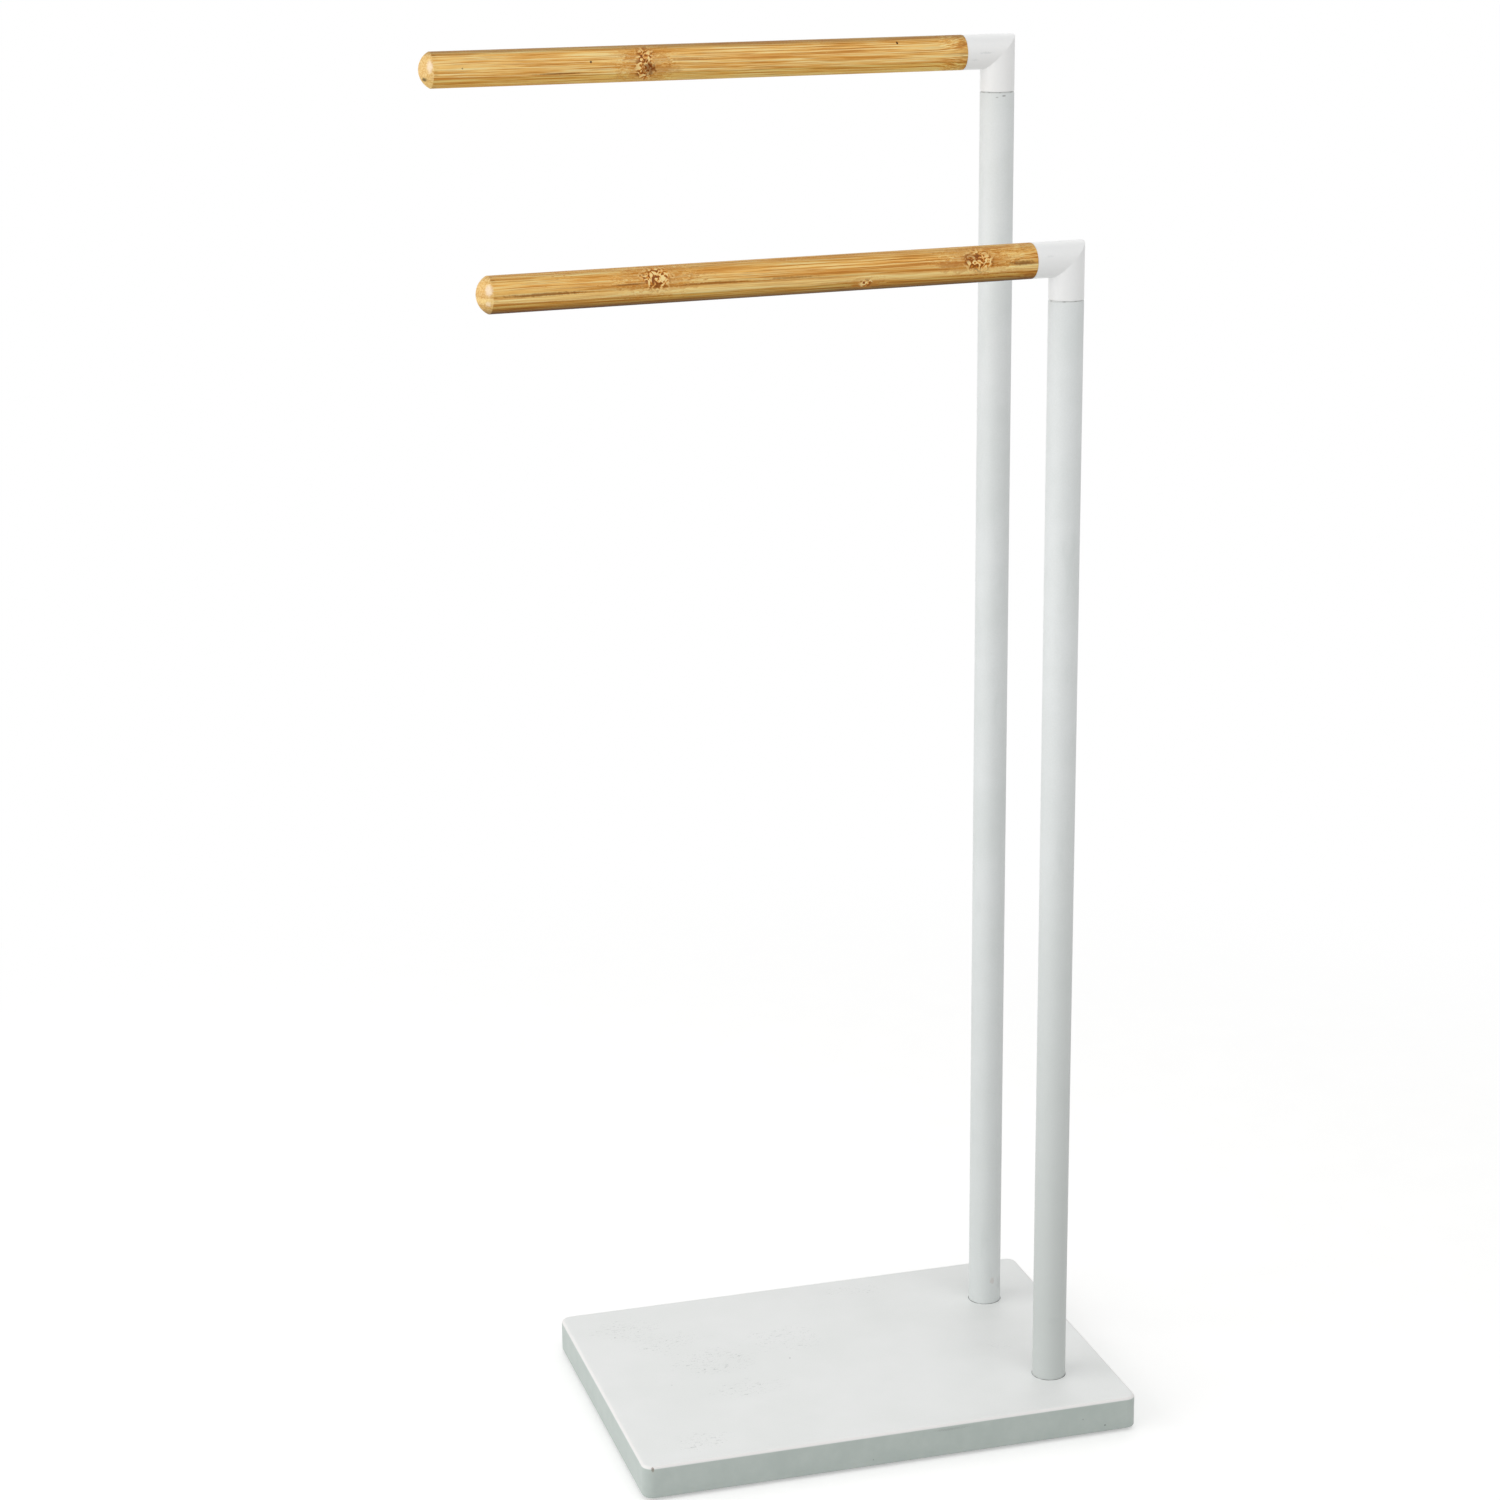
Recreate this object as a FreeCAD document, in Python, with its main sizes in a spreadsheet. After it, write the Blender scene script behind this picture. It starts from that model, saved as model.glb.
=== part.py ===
import FreeCAD, Part
import Sketcher
import os

# Freestanding towel stand: a flat board on four pads, two round poles near its right end, and on
# each pole an elbow that swivels and carries a round towel rod over the board.
#
# Frame: millimetres, +Z up, the floor at Z = 0, the origin in the middle of the floor space that
# the whole stand covers, arms and all, so the board lies a little towards +X. +X runs along the
# board towards the poles, +Y from the front pole to the rear pole. With no turn an arm points
# along -X; a positive turn swings it towards -Y, the front.

SIDES = ("rear", "front")

# Every size that can be set by itself, in millimetres, or in degrees where that is said.
SIZES = {
    # The board
    "base_length": 306,
    "base_depth": 212,
    "base_thickness": 20,
    "base_corner_radius": 6.5,
    "base_top_round": 2,
    "base_bottom_round": 0.8,
    # The four pads under it, each with its centre this far in from the board's two nearest edges
    "pad_diameter": 20,
    "pad_thickness": 2,
    "pad_inset": 22,
    "pad_edge_chamfer": 0.4,
    # The poles: the tube, and how far its axis stands in from the board's edges
    "tube_diameter": 20,
    "tube_wall": 1,
    "pole_end_inset": 39.5,
    "rear_pole_inset": 53.5,
    "front_pole_inset": 45.5,
    # The elbows: the height of each one's top above the floor, its turn in degrees, and the
    # distance from its corner, where the two axes meet, to either mouth
    "rear_top": 815,
    "front_top": 709,
    "rear_turn": 3,
    "front_turn": 6,
    "elbow_leg": 22.5,
    "elbow_wall": 3,
    "elbow_mouth_chamfer": 0.3,
    # The empty space left in the elbow's bore between its corner and what is fixed in each leg
    "elbow_corner_space": 3.5,
    # The towel rods: the reach is from the pole's axis to the tip of the dome
    "rod_diameter": 20,
    "rod_reach": 343,
    "rod_dome_height": 6,
    "rod_root_chamfer": 0.3,
    "rod_bore_spare": 3,
    # The threaded insert in the rod and the stud that joins it to the elbow
    "rod_insert_diameter": 10,
    "rod_insert_length": 18,
    "stud_diameter": 6,
    "stud_setback": 1.5,
    # The bolt from under the board, its socket, and the thread it takes in the pole's plug
    "bolt_diameter": 8,
    "bolt_head_diameter": 14,
    "bolt_head_height": 4.4,
    "bolt_head_chamfer": 1.8,
    "bolt_engagement": 15,
    "bolt_recess": 1,
    "bolt_hole_clearance": 0.5,
    "socket_across_flats": 5,
    "socket_depth": 2.6,
    "foot_plug_length": 18,
    # The washers on the bolt; the split is the gap between the spring washer's two ends
    "flat_washer_diameter": 18,
    "flat_washer_thickness": 1.6,
    "spring_washer_diameter": 14.4,
    "spring_washer_thickness": 2,
    "spring_washer_split": 0.8,
    "washer_hole_clearance": 0.2,
    "counterbore_clearance": 1,
    # The swivel: the pin fixed in the elbow, the flanged bush in the pole, the rubber ring
    "swivel_pin_diameter": 10,
    "swivel_pin_reach": 20,
    "swivel_pin_chamfer": 0.8,
    "bush_length": 22,
    "bush_flange": 0.6,
    "bush_flange_inset": 0.4,
    "ring_section": 1.8,
    "ring_height": 9,
    # Clearances: the last three are radial
    "thrust_gap": 0.1,
    "running_clearance": 0.05,
    "press_clearance": 0.02,
    "thread_clearance": 0.03,
}

# What follows from those sizes.
DERIVED = {
    "base_top": "sizes.pad_thickness + sizes.base_thickness",
    "tube_radius": "sizes.tube_diameter / 2",
    "tube_bore_radius": "tube_radius - sizes.tube_wall",
    # The stand reaches from the rear rod's tip to the board's right end, with X = 0 half way
    "rear_tip_to_board_end": "sizes.rod_reach * cos(sizes.rear_turn) + sizes.pole_end_inset",
    "base_x": "(rear_tip_to_board_end - sizes.base_length) / 2",
    "pole_x": "rear_tip_to_board_end / 2 - sizes.pole_end_inset",
    "rear_y": "sizes.base_depth / 2 - sizes.rear_pole_inset",
    "front_y": "sizes.front_pole_inset - sizes.base_depth / 2",
    # The elbow's seat is its lower mouth; the pole ends below it by the bush's flange and a gap
    "rear_seat": "sizes.rear_top - tube_radius - sizes.elbow_leg",
    "front_seat": "sizes.front_top - tube_radius - sizes.elbow_leg",
    "seat_lift": "sizes.bush_flange + sizes.thrust_gap",
    "rear_pole_top": "rear_seat - seat_lift",
    "front_pole_top": "front_seat - seat_lift",
    "elbow_bore_radius": "tube_radius - sizes.elbow_wall",
    "elbow_plug_radius": "elbow_bore_radius - sizes.press_clearance",
    "elbow_plug_length": "sizes.elbow_leg - elbow_bore_radius - sizes.elbow_corner_space",
    "rod_radius": "sizes.rod_diameter / 2",
    "rod_length": "sizes.rod_reach - sizes.elbow_leg",
    "rod_insert_radius": "sizes.rod_insert_diameter / 2",
    "rod_bore_radius": "rod_insert_radius + sizes.press_clearance",
    "rod_bore_depth": "sizes.rod_insert_length + sizes.rod_bore_spare",
    "stud_radius": "sizes.stud_diameter / 2",
    "stud_bore_radius": "stud_radius + sizes.thread_clearance",
    "stud_in_elbow": "elbow_plug_length - sizes.stud_setback",
    "bolt_radius": "sizes.bolt_diameter / 2",
    "bolt_head_radius": "sizes.bolt_head_diameter / 2",
    "bolt_bore_radius": "bolt_radius + sizes.thread_clearance",
    "bolt_hole_radius": "bolt_radius + sizes.bolt_hole_clearance",
    "washer_stack": "sizes.spring_washer_thickness + sizes.flat_washer_thickness",
    "counterbore_depth": "sizes.bolt_recess + sizes.bolt_head_height + washer_stack",
    "counterbore_radius": "sizes.flat_washer_diameter / 2 + sizes.counterbore_clearance",
    "board_under_pole": "sizes.base_thickness - counterbore_depth",
    "bolt_shank": "washer_stack + board_under_pole + sizes.bolt_engagement",
    "washer_hole_radius": "bolt_radius + sizes.washer_hole_clearance",
    "spring_washer_mean_diameter": "washer_hole_radius + sizes.spring_washer_diameter / 2",
    "spring_washer_half_split": "asin(sizes.spring_washer_split / spring_washer_mean_diameter)",
    "spring_washer_arc": "360deg - 2 * spring_washer_half_split",
    "bolt_bottom": "sizes.pad_thickness + sizes.bolt_recess",
    "spring_washer_bottom": "bolt_bottom + sizes.bolt_head_height",
    "flat_washer_bottom": "spring_washer_bottom + sizes.spring_washer_thickness",
    "pin_radius": "sizes.swivel_pin_diameter / 2",
    "bush_bore_radius": "pin_radius + sizes.running_clearance",
    "ring_centre_radius": "pin_radius - sizes.ring_section / 2",
    "groove_radius": "pin_radius - sizes.ring_section - sizes.press_clearance",
    "groove_half_width": "sizes.ring_section / 2 + sizes.press_clearance",
}

doc = FreeCAD.newDocument("towel_stand")


def fill_sheet(name, cells):
    """A sheet with one named cell in each row."""
    sheet = doc.addObject("Spreadsheet::Sheet", name)
    for row, (alias, content) in enumerate(cells.items(), start=1):
        sheet.set(f"A{row}", alias)
        sheet.set(f"B{row}", content)
        sheet.setAlias(f"B{row}", alias)
    return sheet


fill_sheet("sizes", {alias: str(value) for alias, value in SIZES.items()})
fill_sheet("derived", {alias: f"={formula}" for alias, formula in DERIVED.items()})
doc.recompute()

subparts = []

# A coordinate that lies on a sketch's axis, and that axis's and its origin's numbers in a sketch
AXIS = "0"
X_AXIS_INDEX = -1
Y_AXIS_INDEX = -2
ORIGIN_INDEX = (-1, 1)


# ---- Ways of making a piece --------------------------------------------------------------------


def new_body(label, placement):
    """An empty piece at a place given as an expression."""
    body = doc.addObject("PartDesign::Body", label)
    body.Label = label
    body.setExpression("Placement", placement)
    subparts.append(body)
    return body


def upright(x, y, z):
    """A place with the piece's own Z axis upright."""
    return f"placement(vector({x}; {y}; {z}); rotation(0; 0; 0))"


def on_pole_axis(side, z):
    """A place on one pole's axis, at a height above the floor."""
    return upright("derived.pole_x", f"derived.{side}_y", z)


def in_arm(side, x, z):
    """A place in one arm's own frame: X from the pole's axis, Z from the elbow's seat."""
    seat = f"vector(derived.pole_x; derived.{side}_y; derived.{side}_seat)"
    return f"placement({seat}; rotation(sizes.{side}_turn; 0; 0)) * {upright(x, 0, z)}"


def along_rod(side, distance):
    """A place on the rod's axis, the piece's Z axis pointing to the rod's tip."""
    lying_down = "placement(vector(0; 0; 0); rotation(0; -90; 0))"
    return f"{in_arm(side, f'-({distance})', 'sizes.elbow_leg')} * {lying_down}"


def sketch_on(body, role, name):
    """A sketch on one of the body's own origin planes."""
    sketch = body.newObject("Sketcher::SketchObject", f"{body.Name}_{name}")
    plane = next(item for item in body.Origin.OriginFeatures if item.Role == role)
    sketch.AttachmentSupport = [(plane, "")]
    sketch.MapMode = "FlatFace"
    return sketch


def bind(sketch, kind, *geometry, size):
    """A dimension of a sketch that follows an expression."""
    now = float(sketch.evalExpression(size))
    number = sketch.addConstraint(Sketcher.Constraint(kind, *geometry, now))
    sketch.setExpression(f"Constraints[{number}]", size)


def fix_point(sketch, point, x, y):
    """Hold a point of a sketch at x and y, where AXIS puts it on that axis."""
    if x == AXIS:
        sketch.addConstraint(Sketcher.Constraint("PointOnObject", *point, Y_AXIS_INDEX))
    else:
        bind(sketch, "DistanceX", *ORIGIN_INDEX, *point, size=x)
    if y == AXIS:
        sketch.addConstraint(Sketcher.Constraint("PointOnObject", *point, X_AXIS_INDEX))
    else:
        bind(sketch, "DistanceY", *ORIGIN_INDEX, *point, size=y)


def add_circle(sketch, radius, x=AXIS, y=AXIS):
    """A circle of a given radius with its centre held."""
    centre = FreeCAD.Vector(sketch.evalExpression(x), sketch.evalExpression(y), 0)
    start = Part.Circle(centre, FreeCAD.Vector(0, 0, 1), float(sketch.evalExpression(radius)))
    circle = sketch.addGeometry(start)
    bind(sketch, "Radius", circle, size=radius)
    fix_point(sketch, (circle, 3), x, y)


def add_outline(sketch, points, dome_foot=None):
    """A closed outline through points; from the point dome_foot an arc rises to the next one.

    The next point is the top of the dome, on the sketch's Y axis, and so is the arc's centre.
    """
    places = [FreeCAD.Vector(*(sketch.evalExpression(c) for c in point), 0) for point in points]
    for number, place in enumerate(places):
        following = places[(number + 1) % len(places)]
        if points[number] == dome_foot:
            rise = following.y - place.y
            radius = (place.x**2 + rise**2) / (2 * rise)
            centre = FreeCAD.Vector(0, following.y - radius, 0)
            circle = Part.Circle(centre, FreeCAD.Vector(0, 0, 1), radius)
            edge = Part.ArcOfCircle(circle, circle.parameter(place), circle.parameter(following))
        else:
            edge = Part.LineSegment(place, following)
        sketch.addGeometry(edge)
    for number in range(len(points)):
        joint = Sketcher.Constraint("Coincident", number, 2, (number + 1) % len(points), 1)
        sketch.addConstraint(joint)
    for number, point in enumerate(points):
        fix_point(sketch, (number, 1), *point)
        if point == dome_foot:
            sketch.addConstraint(Sketcher.Constraint("PointOnObject", number, 3, Y_AXIS_INDEX))


def pad(body, sketch, length):
    """Material from a sketch, upwards."""
    feature = body.newObject("PartDesign::Pad", f"{body.Name}_pad")
    feature.Profile = sketch
    feature.setExpression("Length", length)
    doc.recompute()
    return feature


def pocket_upwards(body, sketch, name, depth):
    """A hole from a sketch on the underside, upwards into the piece."""
    before = body.Shape.Volume
    feature = body.newObject("PartDesign::Pocket", f"{body.Name}_{name}")
    feature.Profile = sketch
    feature.Reversed = True
    feature.setExpression("Length", depth)
    doc.recompute()
    if not body.Shape.Volume < before:
        raise RuntimeError(f"{feature.Name} cuts nothing")
    return feature


def turn_section(body, points, dome_foot=None, angle=None):
    """A turned piece from its half section, given as (distance from the axis, height)."""
    sketch = sketch_on(body, "XZ_Plane", "section")
    add_outline(sketch, points, dome_foot)
    turn_sketch(body, sketch, angle)


def turn_sketch(body, sketch, angle=None):
    """A turned piece from a sketch, all the way round unless it is given an angle."""
    feature = body.newObject("PartDesign::Revolution", f"{body.Name}_turned")
    feature.Profile = sketch
    feature.ReferenceAxis = (sketch, ["V_Axis"])
    feature.Angle = 360
    if angle:
        feature.setExpression("Angle", angle)
    doc.recompute()


def hollow_section(inner, outer, height):
    """The half section of a plain ring or tube that starts at the piece's own origin."""
    return [(inner, AXIS), (outer, AXIS), (outer, height), (inner, height)]


def round_edges(body, base, name, radius, wanted):
    """A rounding on those edges of a feature that pass a test."""
    edges = [f"Edge{n}" for n, edge in enumerate(base.Shape.Edges, start=1) if wanted(edge)]
    feature = body.newObject("PartDesign::Fillet", f"{body.Name}_{name}")
    feature.Base = (base, edges)
    feature.setExpression("Radius", radius)
    doc.recompute()
    return feature


# ---- The board and its pads --------------------------------------------------------------------


def lies_at(height):
    """A test for edges that lie wholly at one height in the piece's own frame."""
    return lambda edge: all(abs(vertex.Z - height) < 1e-6 for vertex in edge.Vertexes)


def stands_up(edge):
    """A test for upright straight edges."""
    return len(edge.Vertexes) == 2 and abs(edge.tangentAt(edge.FirstParameter).z) > 0.999


def make_base_board():
    """A lacquered board with round corners, and a counterbored hole under each pole.

    Its own frame has the front left corner of the underside at the origin.
    """
    left = "derived.base_x - sizes.base_length / 2"
    body = new_body("base_board", upright(left, "-sizes.base_depth / 2", "sizes.pad_thickness"))
    outline = sketch_on(body, "XY_Plane", "outline")
    corners = [
        (AXIS, AXIS),
        ("sizes.base_length", AXIS),
        ("sizes.base_length", "sizes.base_depth"),
        (AXIS, "sizes.base_depth"),
    ]
    add_outline(outline, corners)
    board = pad(body, outline, "sizes.base_thickness")
    thickness = board.Length.Value
    board = round_edges(body, board, "corners", "sizes.base_corner_radius", stands_up)
    board = round_edges(body, board, "top_edge", "sizes.base_top_round", lies_at(thickness))
    round_edges(body, board, "bottom_edge", "sizes.base_bottom_round", lies_at(0))

    pole_places = {
        "rear": "sizes.base_depth - sizes.rear_pole_inset",
        "front": "sizes.front_pole_inset",
    }
    cuts = {
        "counterbores": ("derived.counterbore_radius", "derived.counterbore_depth"),
        "bolt_holes": ("derived.bolt_hole_radius", "sizes.base_thickness"),
    }
    for name, (radius, depth) in cuts.items():
        sketch = sketch_on(body, "XY_Plane", f"{name}_sketch")
        for y in pole_places.values():
            add_circle(sketch, radius, "sizes.base_length - sizes.pole_end_inset", y)
        pocket_upwards(body, sketch, name, depth)


def make_foot_pad(label, x_side, y_side):
    """A thin round non-slip pad stuck under one corner of the board."""
    x = f"derived.base_x + {x_side} * (sizes.base_length / 2 - sizes.pad_inset)"
    y = f"{y_side} * (sizes.base_depth / 2 - sizes.pad_inset)"
    body = new_body(label, upright(x, y, 0))
    radius = "sizes.pad_diameter / 2"
    section = [
        (AXIS, AXIS),
        (f"{radius} - sizes.pad_edge_chamfer", AXIS),
        (radius, "sizes.pad_edge_chamfer"),
        (radius, "sizes.pad_thickness"),
        (AXIS, "sizes.pad_thickness"),
    ]
    turn_section(body, section)


# ---- A pole and what fastens it to the board ---------------------------------------------------


def make_pole(side):
    """A round steel tube that stands on the board."""
    body = new_body(f"{side}_pole", on_pole_axis(side, "derived.base_top"))
    sketch = sketch_on(body, "XY_Plane", "section")
    add_circle(sketch, "derived.tube_radius")
    add_circle(sketch, "derived.tube_bore_radius")
    pad(body, sketch, f"derived.{side}_pole_top - derived.base_top")


def make_foot_plug(side):
    """The threaded steel plug in the pole's lower end, flush with it."""
    body = new_body(f"{side}_pole_foot_plug", on_pole_axis(side, "derived.base_top"))
    outer = "derived.tube_bore_radius - sizes.press_clearance"
    turn_section(body, hollow_section("derived.bolt_bore_radius", outer, "sizes.foot_plug_length"))


def make_base_bolt(side):
    """The bolt that holds the pole down, head down in its counterbore, with a hexagon socket."""
    body = new_body(f"{side}_base_bolt", on_pole_axis(side, "derived.bolt_bottom"))
    top = "sizes.bolt_head_height + derived.bolt_shank"
    section = [
        (AXIS, AXIS),
        ("derived.bolt_head_radius - sizes.bolt_head_chamfer", AXIS),
        ("derived.bolt_head_radius", "sizes.bolt_head_chamfer"),
        ("derived.bolt_head_radius", "sizes.bolt_head_height"),
        ("derived.bolt_radius", "sizes.bolt_head_height"),
        ("derived.bolt_radius", top),
        (AXIS, top),
    ]
    turn_section(body, section)
    socket = sketch_on(body, "XY_Plane", "socket_sketch")
    add_hexagon(socket, "sizes.socket_across_flats")
    pocket_upwards(body, socket, "socket", "sizes.socket_depth")


def add_hexagon(sketch, across_flats):
    """A regular hexagon about the origin, inside a construction circle."""
    corner_radius = f"{across_flats} / (2 * cos(30))"
    radius = float(sketch.evalExpression(corner_radius))
    turn = FreeCAD.Rotation(FreeCAD.Vector(0, 0, 1), 60)
    corner = FreeCAD.Vector(radius, 0, 0)
    for _ in range(6):
        following = turn.multVec(corner)
        sketch.addGeometry(Part.LineSegment(corner, following))
        corner = following
    circle = Part.Circle(FreeCAD.Vector(), FreeCAD.Vector(0, 0, 1), radius)
    rim = sketch.addGeometry(circle, True)
    fix_point(sketch, (rim, 3), AXIS, AXIS)
    bind(sketch, "Radius", rim, size=corner_radius)
    for side in range(6):
        sketch.addConstraint(Sketcher.Constraint("Coincident", side, 2, (side + 1) % 6, 1))
        sketch.addConstraint(Sketcher.Constraint("PointOnObject", side, 1, rim))
    for side in range(1, 6):
        sketch.addConstraint(Sketcher.Constraint("Equal", 0, side))
    sketch.addConstraint(Sketcher.Constraint("PointOnObject", 0, 1, X_AXIS_INDEX))


def make_washers(side):
    """The flat washer against the board, and the split spring washer under the bolt's head."""
    flat = new_body(f"{side}_flat_washer", on_pole_axis(side, "derived.flat_washer_bottom"))
    hole = "derived.washer_hole_radius"
    rim = "sizes.flat_washer_diameter / 2"
    turn_section(flat, hollow_section(hole, rim, "sizes.flat_washer_thickness"))

    spring = new_body(f"{side}_spring_washer", on_pole_axis(side, "derived.spring_washer_bottom"))
    rim = "sizes.spring_washer_diameter / 2"
    section = hollow_section(hole, rim, "sizes.spring_washer_thickness")
    turn_section(spring, section, angle="derived.spring_washer_arc")


# ---- The swivel at the top of a pole -----------------------------------------------------------


def make_pole_bush(side):
    """The nylon bush in the pole's upper end; its thin flange lies between pole and elbow."""
    bottom = f"derived.{side}_pole_top - sizes.bush_length"
    body = new_body(f"{side}_pole_bush", on_pole_axis(side, bottom))
    top = "sizes.bush_length + sizes.bush_flange"
    body_radius = "derived.tube_bore_radius - sizes.press_clearance"
    flange_radius = "derived.tube_radius - sizes.bush_flange_inset"
    section = [
        ("derived.bush_bore_radius", AXIS),
        (body_radius, AXIS),
        (body_radius, "sizes.bush_length"),
        (flange_radius, "sizes.bush_length"),
        (flange_radius, top),
        ("derived.bush_bore_radius", top),
    ]
    turn_section(body, section)


def make_swivel_pin(side):
    """The steel pin that is fixed in the elbow's lower leg and turns in the bush."""
    body = new_body(f"{side}_swivel_pin", in_arm(side, 0, "-sizes.swivel_pin_reach"))
    top = "sizes.swivel_pin_reach + derived.elbow_plug_length"
    groove_bottom = "sizes.ring_height - derived.groove_half_width"
    groove_top = "sizes.ring_height + derived.groove_half_width"
    section = [
        (AXIS, AXIS),
        ("derived.pin_radius - sizes.swivel_pin_chamfer", AXIS),
        ("derived.pin_radius", "sizes.swivel_pin_chamfer"),
        ("derived.pin_radius", groove_bottom),
        ("derived.groove_radius", groove_bottom),
        ("derived.groove_radius", groove_top),
        ("derived.pin_radius", groove_top),
        ("derived.pin_radius", "sizes.swivel_pin_reach"),
        ("derived.elbow_plug_radius", "sizes.swivel_pin_reach"),
        ("derived.elbow_plug_radius", top),
        (AXIS, top),
    ]
    turn_section(body, section)


def make_friction_ring(side):
    """The rubber ring in the pin's groove, which rubs in the bush and holds the arm's turn."""
    height = "sizes.ring_height - sizes.swivel_pin_reach"
    body = new_body(f"{side}_friction_ring", in_arm(side, 0, height))
    sketch = sketch_on(body, "XZ_Plane", "section")
    add_circle(sketch, "sizes.ring_section / 2", x="derived.ring_centre_radius")
    turn_sketch(body, sketch)


# ---- The elbow and the rod ---------------------------------------------------------------------


def make_elbow(side):
    """A white moulded elbow: a round tube with one square mitre, open at both mouths.

    Its own frame has the centre of its lower mouth at the origin and its other leg along -X.
    """
    body = new_body(f"{side}_elbow", in_arm(side, 0, 0))
    features = {
        "outside": ("PartDesign::AdditivePipe", "derived.tube_radius"),
        "bore": ("PartDesign::SubtractivePipe", "derived.elbow_bore_radius"),
    }
    for name, (kind, radius) in features.items():
        mouth = sketch_on(body, "XY_Plane", f"{name}_mouth")
        add_circle(mouth, radius)
        feature = body.newObject(kind, f"{body.Name}_{name}")
        feature.Profile = mouth
        feature.Spine = add_elbow_path(body, name)
        feature.Transition = "Right corner"
        doc.recompute()
    chamfer = body.newObject("PartDesign::Chamfer", f"{body.Name}_mouth_chamfer")
    chamfer.Base = (feature, outer_mouth_edges(feature))
    chamfer.setExpression("Size", "sizes.elbow_mouth_chamfer")
    doc.recompute()


def outer_mouth_edges(elbow):
    """The larger of the two round edges at each mouth of an elbow."""
    rounds = {}
    for number, edge in enumerate(elbow.Shape.Edges, start=1):
        if isinstance(edge.Curve, Part.Circle):
            rounds[f"Edge{number}"] = edge.Curve.Radius
    largest = max(rounds.values())
    return [name for name, radius in rounds.items() if abs(radius - largest) < 1e-6]


def add_elbow_path(body, name):
    """The elbow's centre line: up from the lower mouth, then out to the rod's mouth."""
    leg = "sizes.elbow_leg"
    length = float(body.evalExpression(leg))
    path = sketch_on(body, "XZ_Plane", f"{name}_path")
    corner = FreeCAD.Vector(0, length, 0)
    rise = path.addGeometry(Part.LineSegment(FreeCAD.Vector(), corner))
    reach = path.addGeometry(Part.LineSegment(corner, FreeCAD.Vector(-length, length, 0)))
    fix_point(path, (rise, 1), AXIS, AXIS)
    path.addConstraint(Sketcher.Constraint("Coincident", rise, 2, reach, 1))
    path.addConstraint(Sketcher.Constraint("Vertical", rise))
    path.addConstraint(Sketcher.Constraint("Horizontal", reach))
    bind(path, "Distance", rise, size=leg)
    bind(path, "Distance", reach, size=leg)
    return path


def make_elbow_plug(side):
    """The threaded brass plug in the elbow's other leg, flush with its mouth."""
    inner_end = "sizes.elbow_leg - derived.elbow_plug_length"
    body = new_body(f"{side}_elbow_plug", along_rod(side, inner_end))
    section = hollow_section(
        "derived.stud_bore_radius", "derived.elbow_plug_radius", "derived.elbow_plug_length"
    )
    turn_section(body, section)


def make_rod_stud(side):
    """The threaded stud from the elbow's plug into the rod's insert."""
    start = "sizes.elbow_leg - derived.stud_in_elbow"
    body = new_body(f"{side}_rod_stud", along_rod(side, start))
    sketch = sketch_on(body, "XY_Plane", "section")
    add_circle(sketch, "derived.stud_radius")
    pad(body, sketch, "derived.stud_in_elbow + sizes.rod_insert_length")


def make_rod_insert(side):
    """The threaded insert in the rod's root end."""
    body = new_body(f"{side}_rod_insert", along_rod(side, "sizes.elbow_leg"))
    section = hollow_section(
        "derived.stud_bore_radius", "derived.rod_insert_radius", "sizes.rod_insert_length"
    )
    turn_section(body, section)


def make_rod(side):
    """The bamboo rod, with a blind hole for its insert and a dome turned on its free end."""
    body = new_body(f"{side}_rod", along_rod(side, "sizes.elbow_leg"))
    dome_foot = ("derived.rod_radius", "derived.rod_length - sizes.rod_dome_height")
    section = [
        ("derived.rod_bore_radius", AXIS),
        ("derived.rod_radius - sizes.rod_root_chamfer", AXIS),
        ("derived.rod_radius", "sizes.rod_root_chamfer"),
        dome_foot,
        (AXIS, "derived.rod_length"),
        (AXIS, "derived.rod_bore_depth"),
        ("derived.rod_bore_radius", "derived.rod_bore_depth"),
    ]
    turn_section(body, section, dome_foot)


# ---- The whole stand ---------------------------------------------------------------------------

make_base_board()
for row, y_side in (("front", -1), ("rear", 1)):
    for column, x_side in (("left", -1), ("right", 1)):
        make_foot_pad(f"foot_pad_{row}_{column}", x_side, y_side)

for side in SIDES:
    make_pole(side)
    make_foot_plug(side)
    make_base_bolt(side)
    make_washers(side)
    make_pole_bush(side)
    make_swivel_pin(side)
    make_friction_ring(side)
    make_elbow(side)
    make_elbow_plug(side)
    make_rod_stud(side)
    make_rod_insert(side)
    make_rod(side)

doc.recompute()

# ---- Checks and files --------------------------------------------------------------------------

for item in doc.Objects:
    if "Invalid" in item.State or "Error" in item.State:
        raise RuntimeError(f"{item.Label} has failed: {item.State}")

for body in subparts:
    shape = body.Shape
    if shape.isNull() or not shape.isValid() or len(shape.Solids) != 1:
        raise RuntimeError(f"{body.Label} is not one valid solid")

os.makedirs("parts", exist_ok=True)
for body in subparts:
    body.Shape.exportStep(f"parts/{body.Label}.step")
    size = body.Shape.BoundBox
    print(f"{body.Label}: {size.XLength:.2f} x {size.YLength:.2f} x {size.ZLength:.2f} mm")
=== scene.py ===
import math

import bmesh
import bpy
from mathutils import Matrix, Vector


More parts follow.
